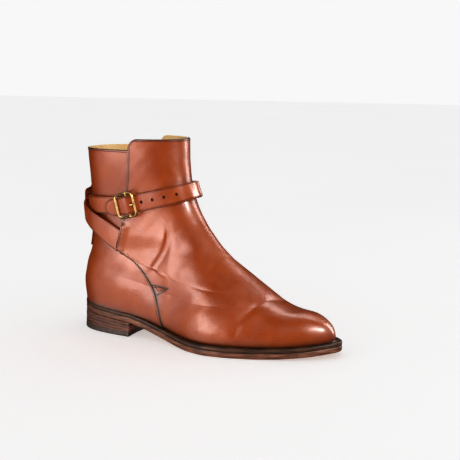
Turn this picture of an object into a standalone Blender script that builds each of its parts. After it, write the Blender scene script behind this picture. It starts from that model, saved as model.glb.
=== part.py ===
"""A right-foot jodhpur boot: a strapped ankle boot on a welted leather sole with a stacked heel.

Metres, +Z up, toe towards +X, outer (lateral) side towards -Y. Inside the functions x runs from the back edge
of the sole. All solids hang on one empty that puts the origin at the middle of the boot's footprint.
"""

import math
from collections import namedtuple

import bmesh
import bpy
import numpy as np
from mathutils import Matrix, Vector

# Driving sizes
SOLE_LENGTH = 0.3007
BALL_WIDTH = 0.106
UPPER_HEIGHT = 0.1795
QUARTER_DROP = 0.0115
INSTEP_HEIGHT = 0.0900
SOLE_THICKNESS = 0.0060
SOLE_EDGE_BEVEL = 0.0010
WELT_THICKNESS = 0.0040
INSOLE_RISE = 0.0030
INSOLE_CLEARANCE = 0.0016
WALL = 0.0022
HEEL_HEIGHT = 0.0205
HEEL_BREAST_HEIGHT = 0.0148
HEEL_LENGTH = 0.0750
HEEL_FLARE = 0.0012
ARCH_FULLNESS = 2.2
TOE_CURVE = 1.8
BREAST_HOLLOW = 0.0040
TOP_PIECE_THICKNESS = 0.0050
LIFT_THICKNESS = 0.0030
LIFT_STEP = 0.0003
TOE_SPRING = 0.0058
PANEL_STEP = 0.0013
QUARTER_STEP = 0.0010
STEP_WIDTH = 0.0010
PANEL_CORNER = 0.0090
SEAM_INNER_SHIFT = 0.0060
STRAP_WIDTH = 0.0190
STRAP_ROOT_WIDTH = 0.0235
STRAP_ROOT_LENGTH = 0.0600
STRAP_THICKNESS = 0.0026
STRAP_TIP = 0.0110
LOOP_WIDTH = 0.0135
LOOP_THICKNESS = 0.0020
HOLE_RADIUS = 0.0016
HOLE_SPACING = 0.0120
HOLE_COUNT = 4
BUCKLE_LENGTH = 0.0228
BUCKLE_WIDTH = 0.0275
BUCKLE_WIRE = 0.0012
PRONG_RADIUS = 0.0009
GAP = 0.0003
SEAT_GAP = 0.0006
SEAM_CLEARANCE = 0.0008
EDGE_THINNING = 0.22
BUCKLE_CORNER = 0.0042
EYE_LEATHER = 0.0013
EYE_MARGIN = 0.0010
SLOT_FRONT = 0.0060
SLOT_BACK = 0.0045
GATE_FRONT = 0.0075
GATE_BACK = 0.0005
HOLE_START = 0.0040
CUT_DEPTH = 0.0160
WELT_EDGE = 0.0006
LIFT_MINIMUM = 0.0010
BREAST_MARGIN = 0.0010
PRONG_OVERHANG = 0.0018
LAID = SEAT_GAP + PANEL_STEP
LAYER = STRAP_THICKNESS + SEAT_GAP

# The flat tread under the ball, as shares of the sole's length
BALL_BACK = 0.54
BALL_FRONT = 0.72

OUTER, INNER = -1, 1

# Outline of the outsole from above: share of the length, then the two edges as shares of the ball width
OutlineRow = namedtuple("OutlineRow", "along outer inner")
OUTLINE = [
    OutlineRow(0.000, 0.000, 0.000),
    OutlineRow(0.006, -0.092, 0.092),
    OutlineRow(0.020, -0.160, 0.160),
    OutlineRow(0.055, -0.240, 0.240),
    OutlineRow(0.115, -0.296, 0.296),
    OutlineRow(0.195, -0.318, 0.315),
    OutlineRow(0.295, -0.326, 0.285),
    OutlineRow(0.395, -0.368, 0.250),
    OutlineRow(0.476, -0.435, 0.262),
    OutlineRow(0.537, -0.492, 0.310),
    OutlineRow(0.597, -0.520, 0.378),
    OutlineRow(0.658, -0.497, 0.440),
    OutlineRow(0.718, -0.447, 0.474),
    OutlineRow(0.779, -0.388, 0.474),
    OutlineRow(0.839, -0.320, 0.440),
    OutlineRow(0.900, -0.225, 0.372),
    OutlineRow(0.950, -0.112, 0.285),
    OutlineRow(0.985, 0.000, 0.190),
    OutlineRow(0.996, 0.045, 0.138),
    OutlineRow(1.000, 0.090, 0.090),
]

# How far the upper stands in from the sole's edge, as shares of the ball width
MarginRow = namedtuple("MarginRow", "along outer inner")
MARGINS = [
    MarginRow(0.00, 0.010, 0.010),
    MarginRow(0.20, 0.012, 0.012),
    MarginRow(0.34, 0.036, 0.022),
    MarginRow(0.50, 0.048, 0.030),
    MarginRow(0.65, 0.052, 0.044),
    MarginRow(0.85, 0.054, 0.052),
    MarginRow(1.00, 0.056, 0.056),
]

# The ridge of the vamp from the throat to the toe: share of the length, share of the instep height over the
# feather line, the ridge's place sideways and the bulge over the welt as shares of the ball width, and how full
# the section is (2 is an ellipse, more is squarer)
VampRow = namedtuple("VampRow", "along height sideways outer_bulge inner_bulge fullness")
VAMP = [
    VampRow(0.542, 1.070, 0.000, 0.030, 0.045, 1.80),
    VampRow(0.603, 0.885, 0.010, 0.028, 0.045, 1.85),
    VampRow(0.674, 0.705, 0.025, 0.022, 0.035, 1.95),
    VampRow(0.733, 0.545, 0.038, 0.018, 0.022, 2.10),
    VampRow(0.787, 0.410, 0.048, 0.016, 0.018, 2.30),
    VampRow(0.839, 0.352, 0.055, 0.016, 0.016, 2.40),
    VampRow(0.889, 0.330, 0.062, 0.018, 0.018, 2.40),
    VampRow(0.929, 0.268, 0.067, 0.020, 0.020, 2.30),
    VampRow(0.956, 0.185, 0.070, 0.022, 0.022, 2.20),
]

# The shaft's front and back from the collar down, over the heel seat: share of the upper's height, then shares
# of the length
ShaftRow = namedtuple("ShaftRow", "height front back")
SHAFT = [
    ShaftRow(1.000, 0.418, 0.029),
    ShaftRow(0.880, 0.420, 0.032),
    ShaftRow(0.760, 0.428, 0.035),
    ShaftRow(0.620, 0.456, 0.038),
    ShaftRow(0.520, 0.493, 0.040),
    ShaftRow(0.440, 0.531, 0.038),
    ShaftRow(0.330, 0.597, 0.027),
    ShaftRow(0.220, 0.698, 0.007),
    ShaftRow(0.120, 0.798, -0.004),
    ShaftRow(0.000, 0.960, 0.002),
]
SHAFT_FRONT_ROWS = 5

# Half widths of the rear of the boot at the same heights, as shares of the ball width, and the place of the
# widest point as a share of the length
LevelRow = namedtuple("LevelRow", "height outer inner widest")
LEVELS = [
    LevelRow(1.000, 0.350, 0.350, 0.174),
    LevelRow(0.870, 0.335, 0.335, 0.179),
    LevelRow(0.760, 0.312, 0.312, 0.184),
    LevelRow(0.650, 0.290, 0.290, 0.184),
    LevelRow(0.530, 0.275, 0.278, 0.189),
    LevelRow(0.360, 0.285, 0.288, 0.199),
    LevelRow(0.230, 0.305, 0.305, 0.209),
    LevelRow(0.110, 0.318, 0.312, 0.214),
    LevelRow(0.000, 0.308, 0.304, 0.214),
]
ROUNDNESS = 2.2
SEAT_FADE = 0.040

# Where the rear's level sections hand over to the vamp's upright ones: along the seat, lean and reach
HANDOVER_ALONG = 0.090
HANDOVER_LEAN = 0.62
HANDOVER_REACH = 0.030

# The swell over the welt: where it starts and is full as shares of the sole's length, and how high it reaches
BULGE_BACK = 0.10
BULGE_FULL = 0.40
BULGE_HEIGHT = 0.038

# The seam between the front panel or vamp and the quarters, seen from the side: share of the upper's height
# over the heel seat, then share of the length
SeamRow = namedtuple("SeamRow", "height along")
SEAM = [
    SeamRow(1.050, 0.266),
    SeamRow(0.830, 0.256),
    SeamRow(0.600, 0.232),
    SeamRow(0.437, 0.211),
    SeamRow(0.360, 0.200),
    SeamRow(0.330, 0.212),
    SeamRow(0.307, 0.245),
    SeamRow(0.256, 0.293),
    SeamRow(0.178, 0.334),
    SeamRow(0.080, 0.369),
    SeamRow(0.000, 0.386),
    SeamRow(-0.110, 0.405),
]
SEAM_CROSSOVER = 0.345
STEP_FADE = 0.020

# Grid of the upper's wall: how many rows and columns, how much of the rows' spacing along the front is even and
# how fast the rest grows, and how fast the rows leave the seat's curve
UPPER_ROWS = 22
PANEL_ROWS = 4
FRONT_COLUMNS = 15
REAR_COLUMNS = 11
ROWS_EVEN = 0.25
ROWS_POWER = 1.7
SEAT_POWER = 6
FINE = 240

# Straps: space between sections and between the samples of a route, the steps that its slopes are taken over, and
# how blunt the long strap's tip is
SECTION_STEP = 0.0055
ROUTE_STEP = 0.002
PROBE_TURN = 0.004
PROBE_UP = 0.0015
TIP_BLUNTNESS = 0.05

# Strap routes: turn round the shaft (0 front, 0.25 outer side, 0.5 back, 0.75 inner side, 1 front again),
# height of the middle as a share of the upper's height over the heel seat, and lift off the leather in layers
# of strap
RouteRow = namedtuple("RouteRow", "turn height lift")
LONG_STRAP = [
    RouteRow(0.300, 0.395, 0.00),
    RouteRow(0.330, 0.436, 0.10),
    RouteRow(0.358, 0.476, 0.60),
    RouteRow(0.400, 0.520, 1.20),
    RouteRow(0.450, 0.557, 1.80),
    RouteRow(0.500, 0.587, 1.70),
    RouteRow(0.550, 0.610, 1.40),
    RouteRow(0.600, 0.630, 1.05),
    RouteRow(0.640, 0.641, 0.60),
    RouteRow(0.680, 0.651, 0.10),
    RouteRow(0.750, 0.665, 0.00),
    RouteRow(0.850, 0.684, 0.05),
    RouteRow(0.930, 0.697, 0.20),
    RouteRow(0.970, 0.701, 1.00),
    RouteRow(1.000, 0.701, 2.50),
    RouteRow(1.025, 0.699, 1.50),
    RouteRow(1.060, 0.693, 0.30),
    RouteRow(1.130, 0.674, 0.05),
    RouteRow(1.175, 0.656, 0.05),
    RouteRow(1.2065, 0.642, 0.30),
    RouteRow(1.2255, 0.634, 1.25),
    RouteRow(1.2445, 0.625, 2.05),
    RouteRow(1.2635, 0.616, 1.70),
    RouteRow(1.2825, 0.607, 1.25),
    RouteRow(1.299, 0.600, 1.12),
    RouteRow(1.318, 0.592, 1.08),
]
BUCKLE_TURN = 1.2445
BUCKLE_STRAP = [
    RouteRow(0.700, 0.395, 0.0),
    RouteRow(0.670, 0.436, 0.0),
    RouteRow(0.642, 0.476, 0.0),
    RouteRow(0.600, 0.520, 0.0),
    RouteRow(0.550, 0.557, 0.0),
    RouteRow(0.500, 0.583, 0.0),
    RouteRow(0.450, 0.598, 0.0),
    RouteRow(0.400, 0.603, 0.0),
    RouteRow(0.350, 0.607, 0.0),
    RouteRow(0.300, 0.612, 0.0),
    RouteRow(0.250, 0.623, 0.0),
]
LOOP_ROUTE = [
    RouteRow(0.5, 0.325, 0.00),
    RouteRow(0.5, 0.430, 0.15),
    RouteRow(0.5, 0.500, 2.40),
    RouteRow(0.5, 0.530, 2.80),
    RouteRow(0.5, 0.590, 2.85),
    RouteRow(0.5, 0.650, 2.80),
    RouteRow(0.5, 0.675, 2.30),
    RouteRow(0.5, 0.692, 0.40),
    RouteRow(0.5, 0.708, 0.00),
]

Finish = namedtuple("Finish", "colour roughness metallic")
TAN_LEATHER = Finish((0.42, 0.10, 0.012), 0.32, 0.0)
STRAP_LEATHER = Finish((0.38, 0.085, 0.012), 0.35, 0.0)
SOLE_LEATHER = Finish((0.045, 0.022, 0.014), 0.45, 0.0)
HEEL_LEATHER = Finish((0.05, 0.025, 0.015), 0.5, 0.0)
INSOLE_LEATHER = Finish((0.50, 0.28, 0.11), 0.7, 0.0)
TOP_RUBBER = Finish((0.02, 0.014, 0.011), 0.6, 0.0)
BRASS = Finish((0.42, 0.28, 0.12), 0.35, 1.0)


def hermite(xs, ys, at):
    """Cubic interpolation with monotone slopes, so that it doesn't overshoot its points."""
    xs, ys = np.asarray(xs, float), np.asarray(ys, float)
    steps = np.diff(xs)
    rises = np.diff(ys) / steps
    same = rises[:-1] * rises[1:] > 0
    before = np.where(same, rises[:-1], 1.0)
    after = np.where(same, rises[1:], 1.0)
    weight_a = 2 * steps[1:] + steps[:-1]
    weight_b = steps[1:] + 2 * steps[:-1]
    slopes = np.empty(len(xs))
    slopes[1:-1] = np.where(same, (weight_a + weight_b) / (weight_a / before + weight_b / after), 0.0)
    slopes[0], slopes[-1] = rises[0], rises[-1]
    at = np.clip(at, xs[0], xs[-1])
    i = np.clip(np.searchsorted(xs, at, side="right") - 1, 0, len(steps) - 1)
    t = (at - xs[i]) / steps[i]
    value = ys[i] * (1 + 2 * t) * (1 - t) ** 2 + ys[i + 1] * t * t * (3 - 2 * t)
    return value + steps[i] * (slopes[i] * t * (1 - t) ** 2 + slopes[i + 1] * t * t * (t - 1))


def read(rows, column, at, key=0):
    """One column of a table as a smooth curve over its key column."""
    pairs = sorted((row[key], getattr(row, column)) for row in rows)
    return hermite([a for a, b in pairs], [b for a, b in pairs], at)


def ease(t):
    t = np.clip(t, 0.0, 1.0)
    return t * t * (3 - 2 * t)


def along_path(points):
    """Distance along a polyline at each of its points."""
    return np.concatenate([[0.0], np.cumsum(np.linalg.norm(np.diff(points, axis=0), axis=1))])


def resample(points, count, power=1.0):
    s = along_path(points)
    at = s[-1] * np.linspace(0, 1, count) ** power
    return np.column_stack([np.interp(at, s, points[:, k]) for k in range(points.shape[1])])


def walk(x):
    """Height of the outsole's underside over the floor: heel seat, arch, flat tread and toe spring."""
    x = np.asarray(x, float)
    ball_back = BALL_BACK * SOLE_LENGTH
    ball_front = BALL_FRONT * SOLE_LENGTH
    seat_slope = (HEEL_BREAST_HEIGHT - HEEL_HEIGHT) / HEEL_LENGTH
    heel = HEEL_HEIGHT + seat_slope * x
    span = ball_back - HEEL_LENGTH
    t = np.clip((x - HEEL_LENGTH) / span, 0, 1)
    start = HEEL_BREAST_HEIGHT * (1 + 2 * t) * (1 - t) ** 2
    arch = start + span * ARCH_FULLNESS * seat_slope * t * (1 - t) ** 2
    toe = TOE_SPRING * np.clip((x - ball_front) / (SOLE_LENGTH - ball_front), 0, 1) ** TOE_CURVE
    return np.where(x < HEEL_LENGTH, heel, arch) + toe


def seat(x):
    """Top of the welt, which the upper stands on."""
    return walk(x) + SOLE_THICKNESS + WELT_THICKNESS


def outline_ring(count=120, inset=0.0):
    """Sole outline from above, anticlockwise from the back: inset is a distance or a table of margins."""
    theta = np.linspace(0, math.pi, count + 1)
    along = (1 - np.cos(theta)) / 2
    inner = read(OUTLINE, "inner", along) * BALL_WIDTH
    outer = read(OUTLINE, "outer", along) * BALL_WIDTH
    x = along * SOLE_LENGTH
    ring = np.concatenate([np.column_stack([x, outer]), np.column_stack([x, inner])[-2:0:-1]])
    ring = resample(np.vstack([ring, ring[:1]]), 2 * count + 1)[:-1]
    if inset is None:
        share = ring[:, 0] / SOLE_LENGTH
        outer_margin = read(MARGINS, "outer", share)
        inner_margin = read(MARGINS, "inner", share)
        side = ease(0.5 + ring[:, 1] / (0.2 * BALL_WIDTH))
        inset = (outer_margin * (1 - side) + inner_margin * side) * BALL_WIDTH
    tangent = np.roll(ring, -1, axis=0) - np.roll(ring, 1, axis=0)
    tangent /= np.linalg.norm(tangent, axis=1)[:, None]
    inward = np.column_stack([-tangent[:, 1], tangent[:, 0]])
    return ring + inward * np.reshape(inset, (-1, 1))


def edges_of(ring):
    """A closed outline as two graphs, outer and inner edge over x, sharing the back and front points."""
    back, front = int(np.argmin(ring[:, 0])), int(np.argmax(ring[:, 0]))
    ring = np.roll(ring, -back, axis=0)
    front = (front - back) % len(ring)
    outer = ring[: front + 1]
    inner = np.vstack([ring[front:], ring[:1]])[::-1]
    return {OUTER: outer, INNER: inner}


FEATHER = edges_of(outline_ring(inset=None))
FEATHER_BACK = float(FEATHER[OUTER][0, 0])
FEATHER_FRONT = float(FEATHER[OUTER][-1, 0])
HEEL_SEAT = float(seat(FEATHER_BACK))
COLLAR = HEEL_SEAT + UPPER_HEIGHT
QUARTER_TOP = COLLAR - QUARTER_DROP


def feather(side, x):
    """The upper's edge on the welt, as y over x."""
    edge = FEATHER[side]
    return np.interp(x, edge[:, 0], edge[:, 1])


def front_profile():
    """The boot's front from the toe's feather line over the vamp's ridge up to the collar."""
    points = [(FEATHER_FRONT, float(seat(FEATHER_FRONT)))]
    for row in reversed(VAMP):
        x = row.along * SOLE_LENGTH
        points.append((x, float(seat(x)) + row.height * INSTEP_HEIGHT))
    for row in reversed(SHAFT[:SHAFT_FRONT_ROWS]):
        points.append((row.front * SOLE_LENGTH, HEEL_SEAT + row.height * UPPER_HEIGHT))
    points = np.array(points)
    s = along_path(points)
    fine = np.linspace(0, s[-1], FINE)
    return np.column_stack([hermite(s, points[:, 0], fine), hermite(s, points[:, 1], fine)])


def back_profile():
    heights = np.linspace(0, 1, FINE)
    x = read(SHAFT, "back", heights) * SOLE_LENGTH
    x += (FEATHER_BACK - x[0]) * ease(1 - heights * UPPER_HEIGHT / (SEAT_FADE / 2))
    return np.column_stack([x, HEEL_SEAT + heights * UPPER_HEIGHT])


FRONT = front_profile()
BACK = back_profile()


def front_at(z):
    return np.interp(z, FRONT[:, 1], FRONT[:, 0])


def ridge_at(x):
    return np.interp(x, FRONT[::-1, 0], FRONT[::-1, 1])


def back_at(z):
    return np.interp(z, BACK[:, 1], BACK[:, 0])


def arc(t, fullness):
    return np.clip(1 - np.clip(t, 0, 1) ** fullness, 0, 1) ** (1 / fullness)


def level_y(side, x, z):
    """Half width of a level section at height z."""
    share = (z - HEEL_SEAT) / UPPER_HEIGHT
    half = read(LEVELS, "outer" if side == OUTER else "inner", share) * BALL_WIDTH
    widest = read(LEVELS, "widest", share) * SOLE_LENGTH
    rear = (widest - x) / (widest - back_at(z))
    fore = (x - widest) / np.maximum(front_at(z) - widest, 1e-4)
    return half * arc(np.where(x < widest, rear, fore), ROUNDNESS)


def rear_y(side, x, z):
    shifted = x - back_at(z) + FEATHER_BACK
    at_seat = side * feather(side, shifted) - level_y(side, shifted, HEEL_SEAT)
    fade = ease(1 - (z - seat(x)) / SEAT_FADE)
    return side * (level_y(side, x, z) + at_seat * fade)


def fore_y(side, x, z):
    share = x / SOLE_LENGTH
    ridge_y = read(VAMP, "sideways", share) * BALL_WIDTH
    fullness = read(VAMP, "fullness", share)
    tall = np.maximum(ridge_at(x) - seat(x), 1e-5)
    return ridge_y + (feather(side, x) - ridge_y) * arc((z - seat(x)) / tall, fullness)


def side_y(side, x, z):
    """The upper's outside, without its bulge over the welt, as y over the side view."""
    lean = x - HANDOVER_ALONG - (z - HEEL_SEAT) * HANDOVER_LEAN
    share = ease(0.5 + lean / (2 * HANDOVER_REACH))
    return rear_y(side, x, z) * (1 - share) + fore_y(side, x, z) * share


def seam_at(z, side=OUTER):
    """Where the seam lies along the boot. On the inner side it is a little further back."""
    shift = SEAM_INNER_SHIFT if side == INNER else 0.0
    return read(SEAM, "along", (z - HEEL_SEAT) / UPPER_HEIGHT) * SOLE_LENGTH - shift


def seam_corner(z):
    """How far the front panel's rounded corner pulls its edge forward near the collar."""
    rise = np.clip(z - (COLLAR - PANEL_CORNER), 0, PANEL_CORNER)
    return PANEL_CORNER - np.sqrt(np.maximum(PANEL_CORNER ** 2 - rise ** 2, 0))


def row_line(v):
    """One row of the wall in the side view, from the front profile to the back one. Above v = 1 rows are level
    and only the front panel has them."""
    theta = np.linspace(0, math.pi, FINE)
    s = (1 - np.cos(theta)) / 2
    if v >= 1:
        z = QUARTER_TOP + (v - 1) * QUARTER_DROP
        x = front_at(z) * (1 - s) + back_at(z) * s
        return x, np.full(FINE, z)
    front = FRONT[FRONT[:, 1] <= QUARTER_TOP]
    path = along_path(front)
    at = path[-1] * (ROWS_EVEN * v + (1 - ROWS_EVEN) * v ** ROWS_POWER)
    top_x = np.interp(at, path, front[:, 0])
    top_z = np.interp(at, path, front[:, 1])
    back_z = HEEL_SEAT + (QUARTER_TOP - HEEL_SEAT) * v
    x = top_x * (1 - s) + back_at(back_z) * s
    z = top_z * (1 - s) + back_z * s
    sole_x = FEATHER_FRONT * (1 - s) + FEATHER_BACK * s
    straight = float(seat(FEATHER_FRONT)) * (1 - s) + HEEL_SEAT * s
    return x, z + (seat(sole_x) - straight) * (1 - v) ** SEAT_POWER


def side_row(side, v):
    """Points of one side's row, from ridge to back, with a place on each side of the seam."""
    x, z = row_line(v)
    points = np.column_stack([x, side_y(side, x, z), z])
    s = along_path(points)
    ahead = x - (seam_at(z, side) + seam_corner(z))
    cut = int(np.argmax(ahead < 0))
    part = ahead[cut - 1] / (ahead[cut - 1] - ahead[cut])
    seam_s = s[cut - 1] + part * (s[cut] - s[cut - 1])
    stations = np.concatenate([
        np.linspace(0, seam_s, FRONT_COLUMNS + 1),
        np.linspace(seam_s + STEP_WIDTH, s[-1], REAR_COLUMNS + 1),
    ])
    return np.column_stack([np.interp(stations, s, points[:, k]) for k in range(3)])


def wall_grid():
    """Rows of the whole wall, round from the ridge along the outer side, the back and the inner side."""
    values = list(np.linspace(0, 1, UPPER_ROWS + 1))
    corner = (np.sin(np.linspace(0, math.pi / 2, PANEL_ROWS + 1))[1:]).tolist()
    values += [1 + c for c in corner]
    rows = []
    for v in values:
        outer = side_row(OUTER, v)
        inner = side_row(INNER, v)
        middle_front = (outer[0] + inner[0]) / 2
        middle_back = (outer[-1] + inner[-1]) / 2
        rows.append(np.vstack([middle_front, outer[1:-1], middle_back, inner[-2:0:-1]]))
    return np.array(rows), values


def grid_normals(grid):
    across = np.roll(grid, -1, axis=1) - np.roll(grid, 1, axis=1)
    up = np.gradient(grid, axis=0)
    normal = np.cross(up, across)
    return normal / np.linalg.norm(normal, axis=2)[:, :, None]


def bulge_at(point):
    """Outward swell of the upper just above the feather line."""
    x, y, z = point[..., 0], point[..., 1], point[..., 2]
    share = x / SOLE_LENGTH
    side = ease(0.5 + y / (0.4 * BALL_WIDTH))
    swell = read(VAMP, "outer_bulge", share) * (1 - side) + read(VAMP, "inner_bulge", share) * side
    swell = swell * ease((share - BULGE_BACK) / (BULGE_FULL - BULGE_BACK))
    over = np.clip((z - seat(x)) / BULGE_HEIGHT, 0, 1)
    return swell * BALL_WIDTH * np.sin(math.pi * over ** 0.7)


def wall_surfaces():
    """Outer and inner faces of the wall as grids, and which column lies where."""
    grid, values = wall_grid()
    normal = grid_normals(grid)
    flat = normal * np.array([1, 1, 0])
    grid = grid + flat * bulge_at(grid)[:, :, None]
    normal = grid_normals(grid)
    columns = FRONT_COLUMNS + REAR_COLUMNS + 1
    station = np.array([min(j, 2 * columns - j) for j in range(2 * columns)])
    is_panel = station <= FRONT_COLUMNS
    crossing = HEEL_SEAT + SEAM_CROSSOVER * UPPER_HEIGHT
    z = grid[:, :, 2]
    panel_rise = PANEL_STEP * ease((z - crossing) / STEP_FADE)
    quarter_rise = QUARTER_STEP * ease((crossing - z) / STEP_FADE)
    rise = np.where(is_panel[None, :], panel_rise, quarter_rise)
    outside = grid + normal * rise[:, :, None]
    inside = grid - normal * WALL
    outside[0, :, 2] = seat(grid[0, :, 0]) + GAP
    inside[0, :, 2] = seat(grid[0, :, 0]) + GAP
    outside[-1, :, 2] = COLLAR
    inside[-1, :, 2] = COLLAR
    rear = ~is_panel
    outside[UPPER_ROWS, rear, 2] = QUARTER_TOP
    inside[UPPER_ROWS, rear, 2] = QUARTER_TOP
    keep = np.ones((len(values) - 1, 2 * columns), bool)
    cell_is_panel = is_panel & np.roll(is_panel, -1)
    keep[UPPER_ROWS:] = cell_is_panel[None, :]
    return outside, inside, keep


def split(cell, points):
    """A four-sided cell as two triangles along its shorter diagonal."""
    a, b, c, d = cell
    if math.dist(points[a], points[c]) <= math.dist(points[b], points[d]):
        return [a, b, c], [a, c, d]
    return [a, b, d], [b, c, d]


def shell_mesh(outside, inside, keep):
    """A closed wall from two grids of points that wrap round, with the cells in keep."""
    rows, columns = outside.shape[:2]
    points = [tuple(p) for p in outside.reshape(-1, 3)] + [tuple(p) for p in inside.reshape(-1, 3)]
    inner_start = rows * columns
    faces = []
    border = {}
    for i in range(rows - 1):
        for j in range(columns):
            if not keep[i, j]:
                continue
            k = (j + 1) % columns
            cell = [i * columns + j, i * columns + k, (i + 1) * columns + k, (i + 1) * columns + j]
            for face in split(cell, points):
                faces.append(face)
                faces.append([inner_start + c for c in reversed(face)])
            for a, b in zip(cell, cell[1:] + cell[:1]):
                if (b, a) in border:
                    del border[(b, a)]
                else:
                    border[(a, b)] = True
    for a, b in border:
        faces.append([b, a, inner_start + a, inner_start + b])
    return points, faces


def make(name, points, faces, finish, parent, smooth_angle=30):
    mesh = bpy.data.meshes.new(name)
    mesh.from_pydata([tuple(p) for p in points], [], faces)
    mesh.validate()
    work = bmesh.new()
    work.from_mesh(mesh)
    loose = [v for v in work.verts if not v.link_faces]
    bmesh.ops.delete(work, geom=loose, context="VERTS")
    bmesh.ops.remove_doubles(work, verts=work.verts, dist=1e-6)
    bmesh.ops.recalc_face_normals(work, faces=work.faces)
    work.to_mesh(mesh)
    work.free()
    mesh.shade_smooth()
    mesh.set_sharp_from_angle(angle=math.radians(smooth_angle))
    body = bpy.data.objects.new(name, mesh)
    bpy.context.collection.objects.link(body)
    body.parent = parent
    mesh.materials.append(material(name, finish))
    return body


def material(name, finish):
    made = bpy.data.materials.new(name)
    made.use_nodes = True
    shader = made.node_tree.nodes["Principled BSDF"]
    shader.inputs["Base Color"].default_value = (*finish.colour, 1)
    shader.inputs["Roughness"].default_value = finish.roughness
    shader.inputs["Metallic"].default_value = finish.metallic
    return made


def loft(sections, closed_path=False):
    """Faces between equal closed sections, with flat caps on an open path."""
    count = len(sections[0])
    points = np.vstack(sections)
    faces = []
    total = len(sections)
    for i in range(total if closed_path else total - 1):
        for j in range(count):
            k = (j + 1) % count
            a, b = i * count, ((i + 1) % total) * count
            faces.append([a + j, a + k, b + k, b + j])
    if not closed_path:
        faces.append(list(range(count))[::-1])
        faces.append([(total - 1) * count + j for j in range(count)])
    return points, faces


def ladder_plate(ring_of, levels, rungs=40):
    """A plate whose outline is a closed ring split into rungs across. ring_of(k) gives the outline at level k
    and levels[k](x) its height. Levels go from the bottom up."""
    layers = []
    for k, level in enumerate(levels):
        edges = edges_of(ring_of(k))
        outer = resample(edges[OUTER], rungs + 1)
        inner = resample(edges[INNER], rungs + 1)
        ring = np.vstack([outer, inner[-2:0:-1]])
        layers.append(np.column_stack([ring, level(ring[:, 0])]))
    count = 2 * rungs
    points, faces = loft(layers)
    faces = faces[:-2]
    for base, flip in ((0, True), ((len(layers) - 1) * count, False)):
        for i in range(rungs):
            left, next_left = i, i + 1
            right, next_right = (count - i) % count, count - i - 1
            quad = [left, next_left, next_right, right]
            quad = [q for n, q in enumerate(quad) if q not in quad[:n]]
            face = [base + q for q in quad]
            faces.append(face[::-1] if flip else face)
    return points, faces


def make_outsole(parent):
    insets = [SOLE_EDGE_BEVEL, 0.0, 0.0]
    levels = [
        walk,
        lambda x: walk(x) + SOLE_EDGE_BEVEL,
        lambda x: walk(x) + SOLE_THICKNESS - GAP,
    ]
    points, faces = ladder_plate(lambda k: outline_ring(inset=insets[k]), levels, rungs=44)
    make("outsole", points, faces, SOLE_LEATHER, parent)


def make_welt(parent):
    """A ring that the upper's edge stands on, from the sole's edge to the inside of the wall."""
    count = 96
    outer = outline_ring()
    inner = outline_ring(inset=None)
    spot = np.linspace(0, len(outer), count, endpoint=False).astype(int)
    outer, inner_edge = outer[spot], inner[spot]
    inward = inner_edge - outer
    inward /= np.linalg.norm(inward, axis=1)[:, None]
    inner_edge = inner_edge + inward * (WALL + GAP)
    rows = []
    edge = WELT_EDGE
    for shape, rise in (
        (inner_edge, 0.0),
        (outer, 0.0),
        (outer, WELT_THICKNESS - edge),
        (outer + inward * edge, WELT_THICKNESS),
        (inner_edge, WELT_THICKNESS),
    ):
        height = walk(shape[:, 0]) + SOLE_THICKNESS + rise
        rows.append(np.column_stack([shape, height]))
    sections = [np.array([row[i] for row in rows]) for i in range(count)]
    points, faces = loft(sections, closed_path=True)
    make("welt", points, faces, SOLE_LEATHER, parent)


def make_insole(parent):
    def ring(k):
        base = outline_ring(inset=None)
        tangent = np.roll(base, -1, axis=0) - np.roll(base, 1, axis=0)
        tangent /= np.linalg.norm(tangent, axis=1)[:, None]
        return base + np.column_stack([-tangent[:, 1], tangent[:, 0]]) * (WALL + INSOLE_CLEARANCE)

    levels = [
        lambda x: walk(x) + SOLE_THICKNESS,
        lambda x: seat(x) + INSOLE_RISE,
    ]
    points, faces = ladder_plate(ring, levels, rungs=30)
    make("insole", points, faces, INSOLE_LEATHER, parent)


def heel_ring(z, shrink=0.0):
    """Outline of the heel at a height: the sole's, flared towards the floor, with a hollow breast."""
    down = 1 - z / HEEL_HEIGHT
    edges = edges_of(outline_ring(inset=shrink - HEEL_FLARE * down))
    front = HEEL_LENGTH - shrink
    outer = edges[OUTER][edges[OUTER][:, 0] < front - BREAST_MARGIN]
    inner = edges[INNER][edges[INNER][:, 0] < front - BREAST_MARGIN]
    y_outer = float(np.interp(front, edges[OUTER][:, 0], edges[OUTER][:, 1]))
    y_inner = float(np.interp(front, edges[INNER][:, 0], edges[INNER][:, 1]))
    side_outer = resample(np.vstack([outer, [[front, y_outer]]]), 19)
    side_inner = resample(np.vstack([inner, [[front, y_inner]]]), 19)
    across = np.linspace(0, 1, 9)[1:-1]
    breast = np.column_stack([
        front - BREAST_HOLLOW * np.sin(math.pi * across),
        y_outer + (y_inner - y_outer) * across,
    ])
    return np.vstack([side_outer, breast, side_inner[::-1][:-1]])


def make_heel(parent):
    """The floor's top piece and the stacked lifts. The uppermost lift is a wedge under the sloping seat."""
    seams = [0.0, TOP_PIECE_THICKNESS]
    while seams[-1] + LIFT_THICKNESS + LIFT_MINIMUM < HEEL_BREAST_HEIGHT:
        seams.append(seams[-1] + LIFT_THICKNESS)
    for n, low in enumerate(seams):
        last = n == len(seams) - 1
        shrink = LIFT_STEP * (n % 2)
        lower = heel_ring(low, shrink)
        top_z = HEEL_BREAST_HEIGHT if last else seams[n + 1]
        upper = heel_ring(top_z, shrink)
        if last:
            top = walk(upper[:, 0]) - GAP
        else:
            top = np.full(len(upper), top_z)
        sections = [
            np.column_stack([lower, np.full(len(lower), low)]),
            np.column_stack([upper, top]),
        ]
        points, faces = loft(sections)
        name = "heel_top_piece" if n == 0 else f"heel_lift_{n}"
        make(name, points, faces, TOP_RUBBER if n == 0 else HEEL_LEATHER, parent)


def make_upper(parent):
    outside, inside, keep = wall_surfaces()
    points, faces = shell_mesh(outside, inside, keep)
    make("upper", points, faces, TAN_LEATHER, parent, smooth_angle=40)


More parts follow.
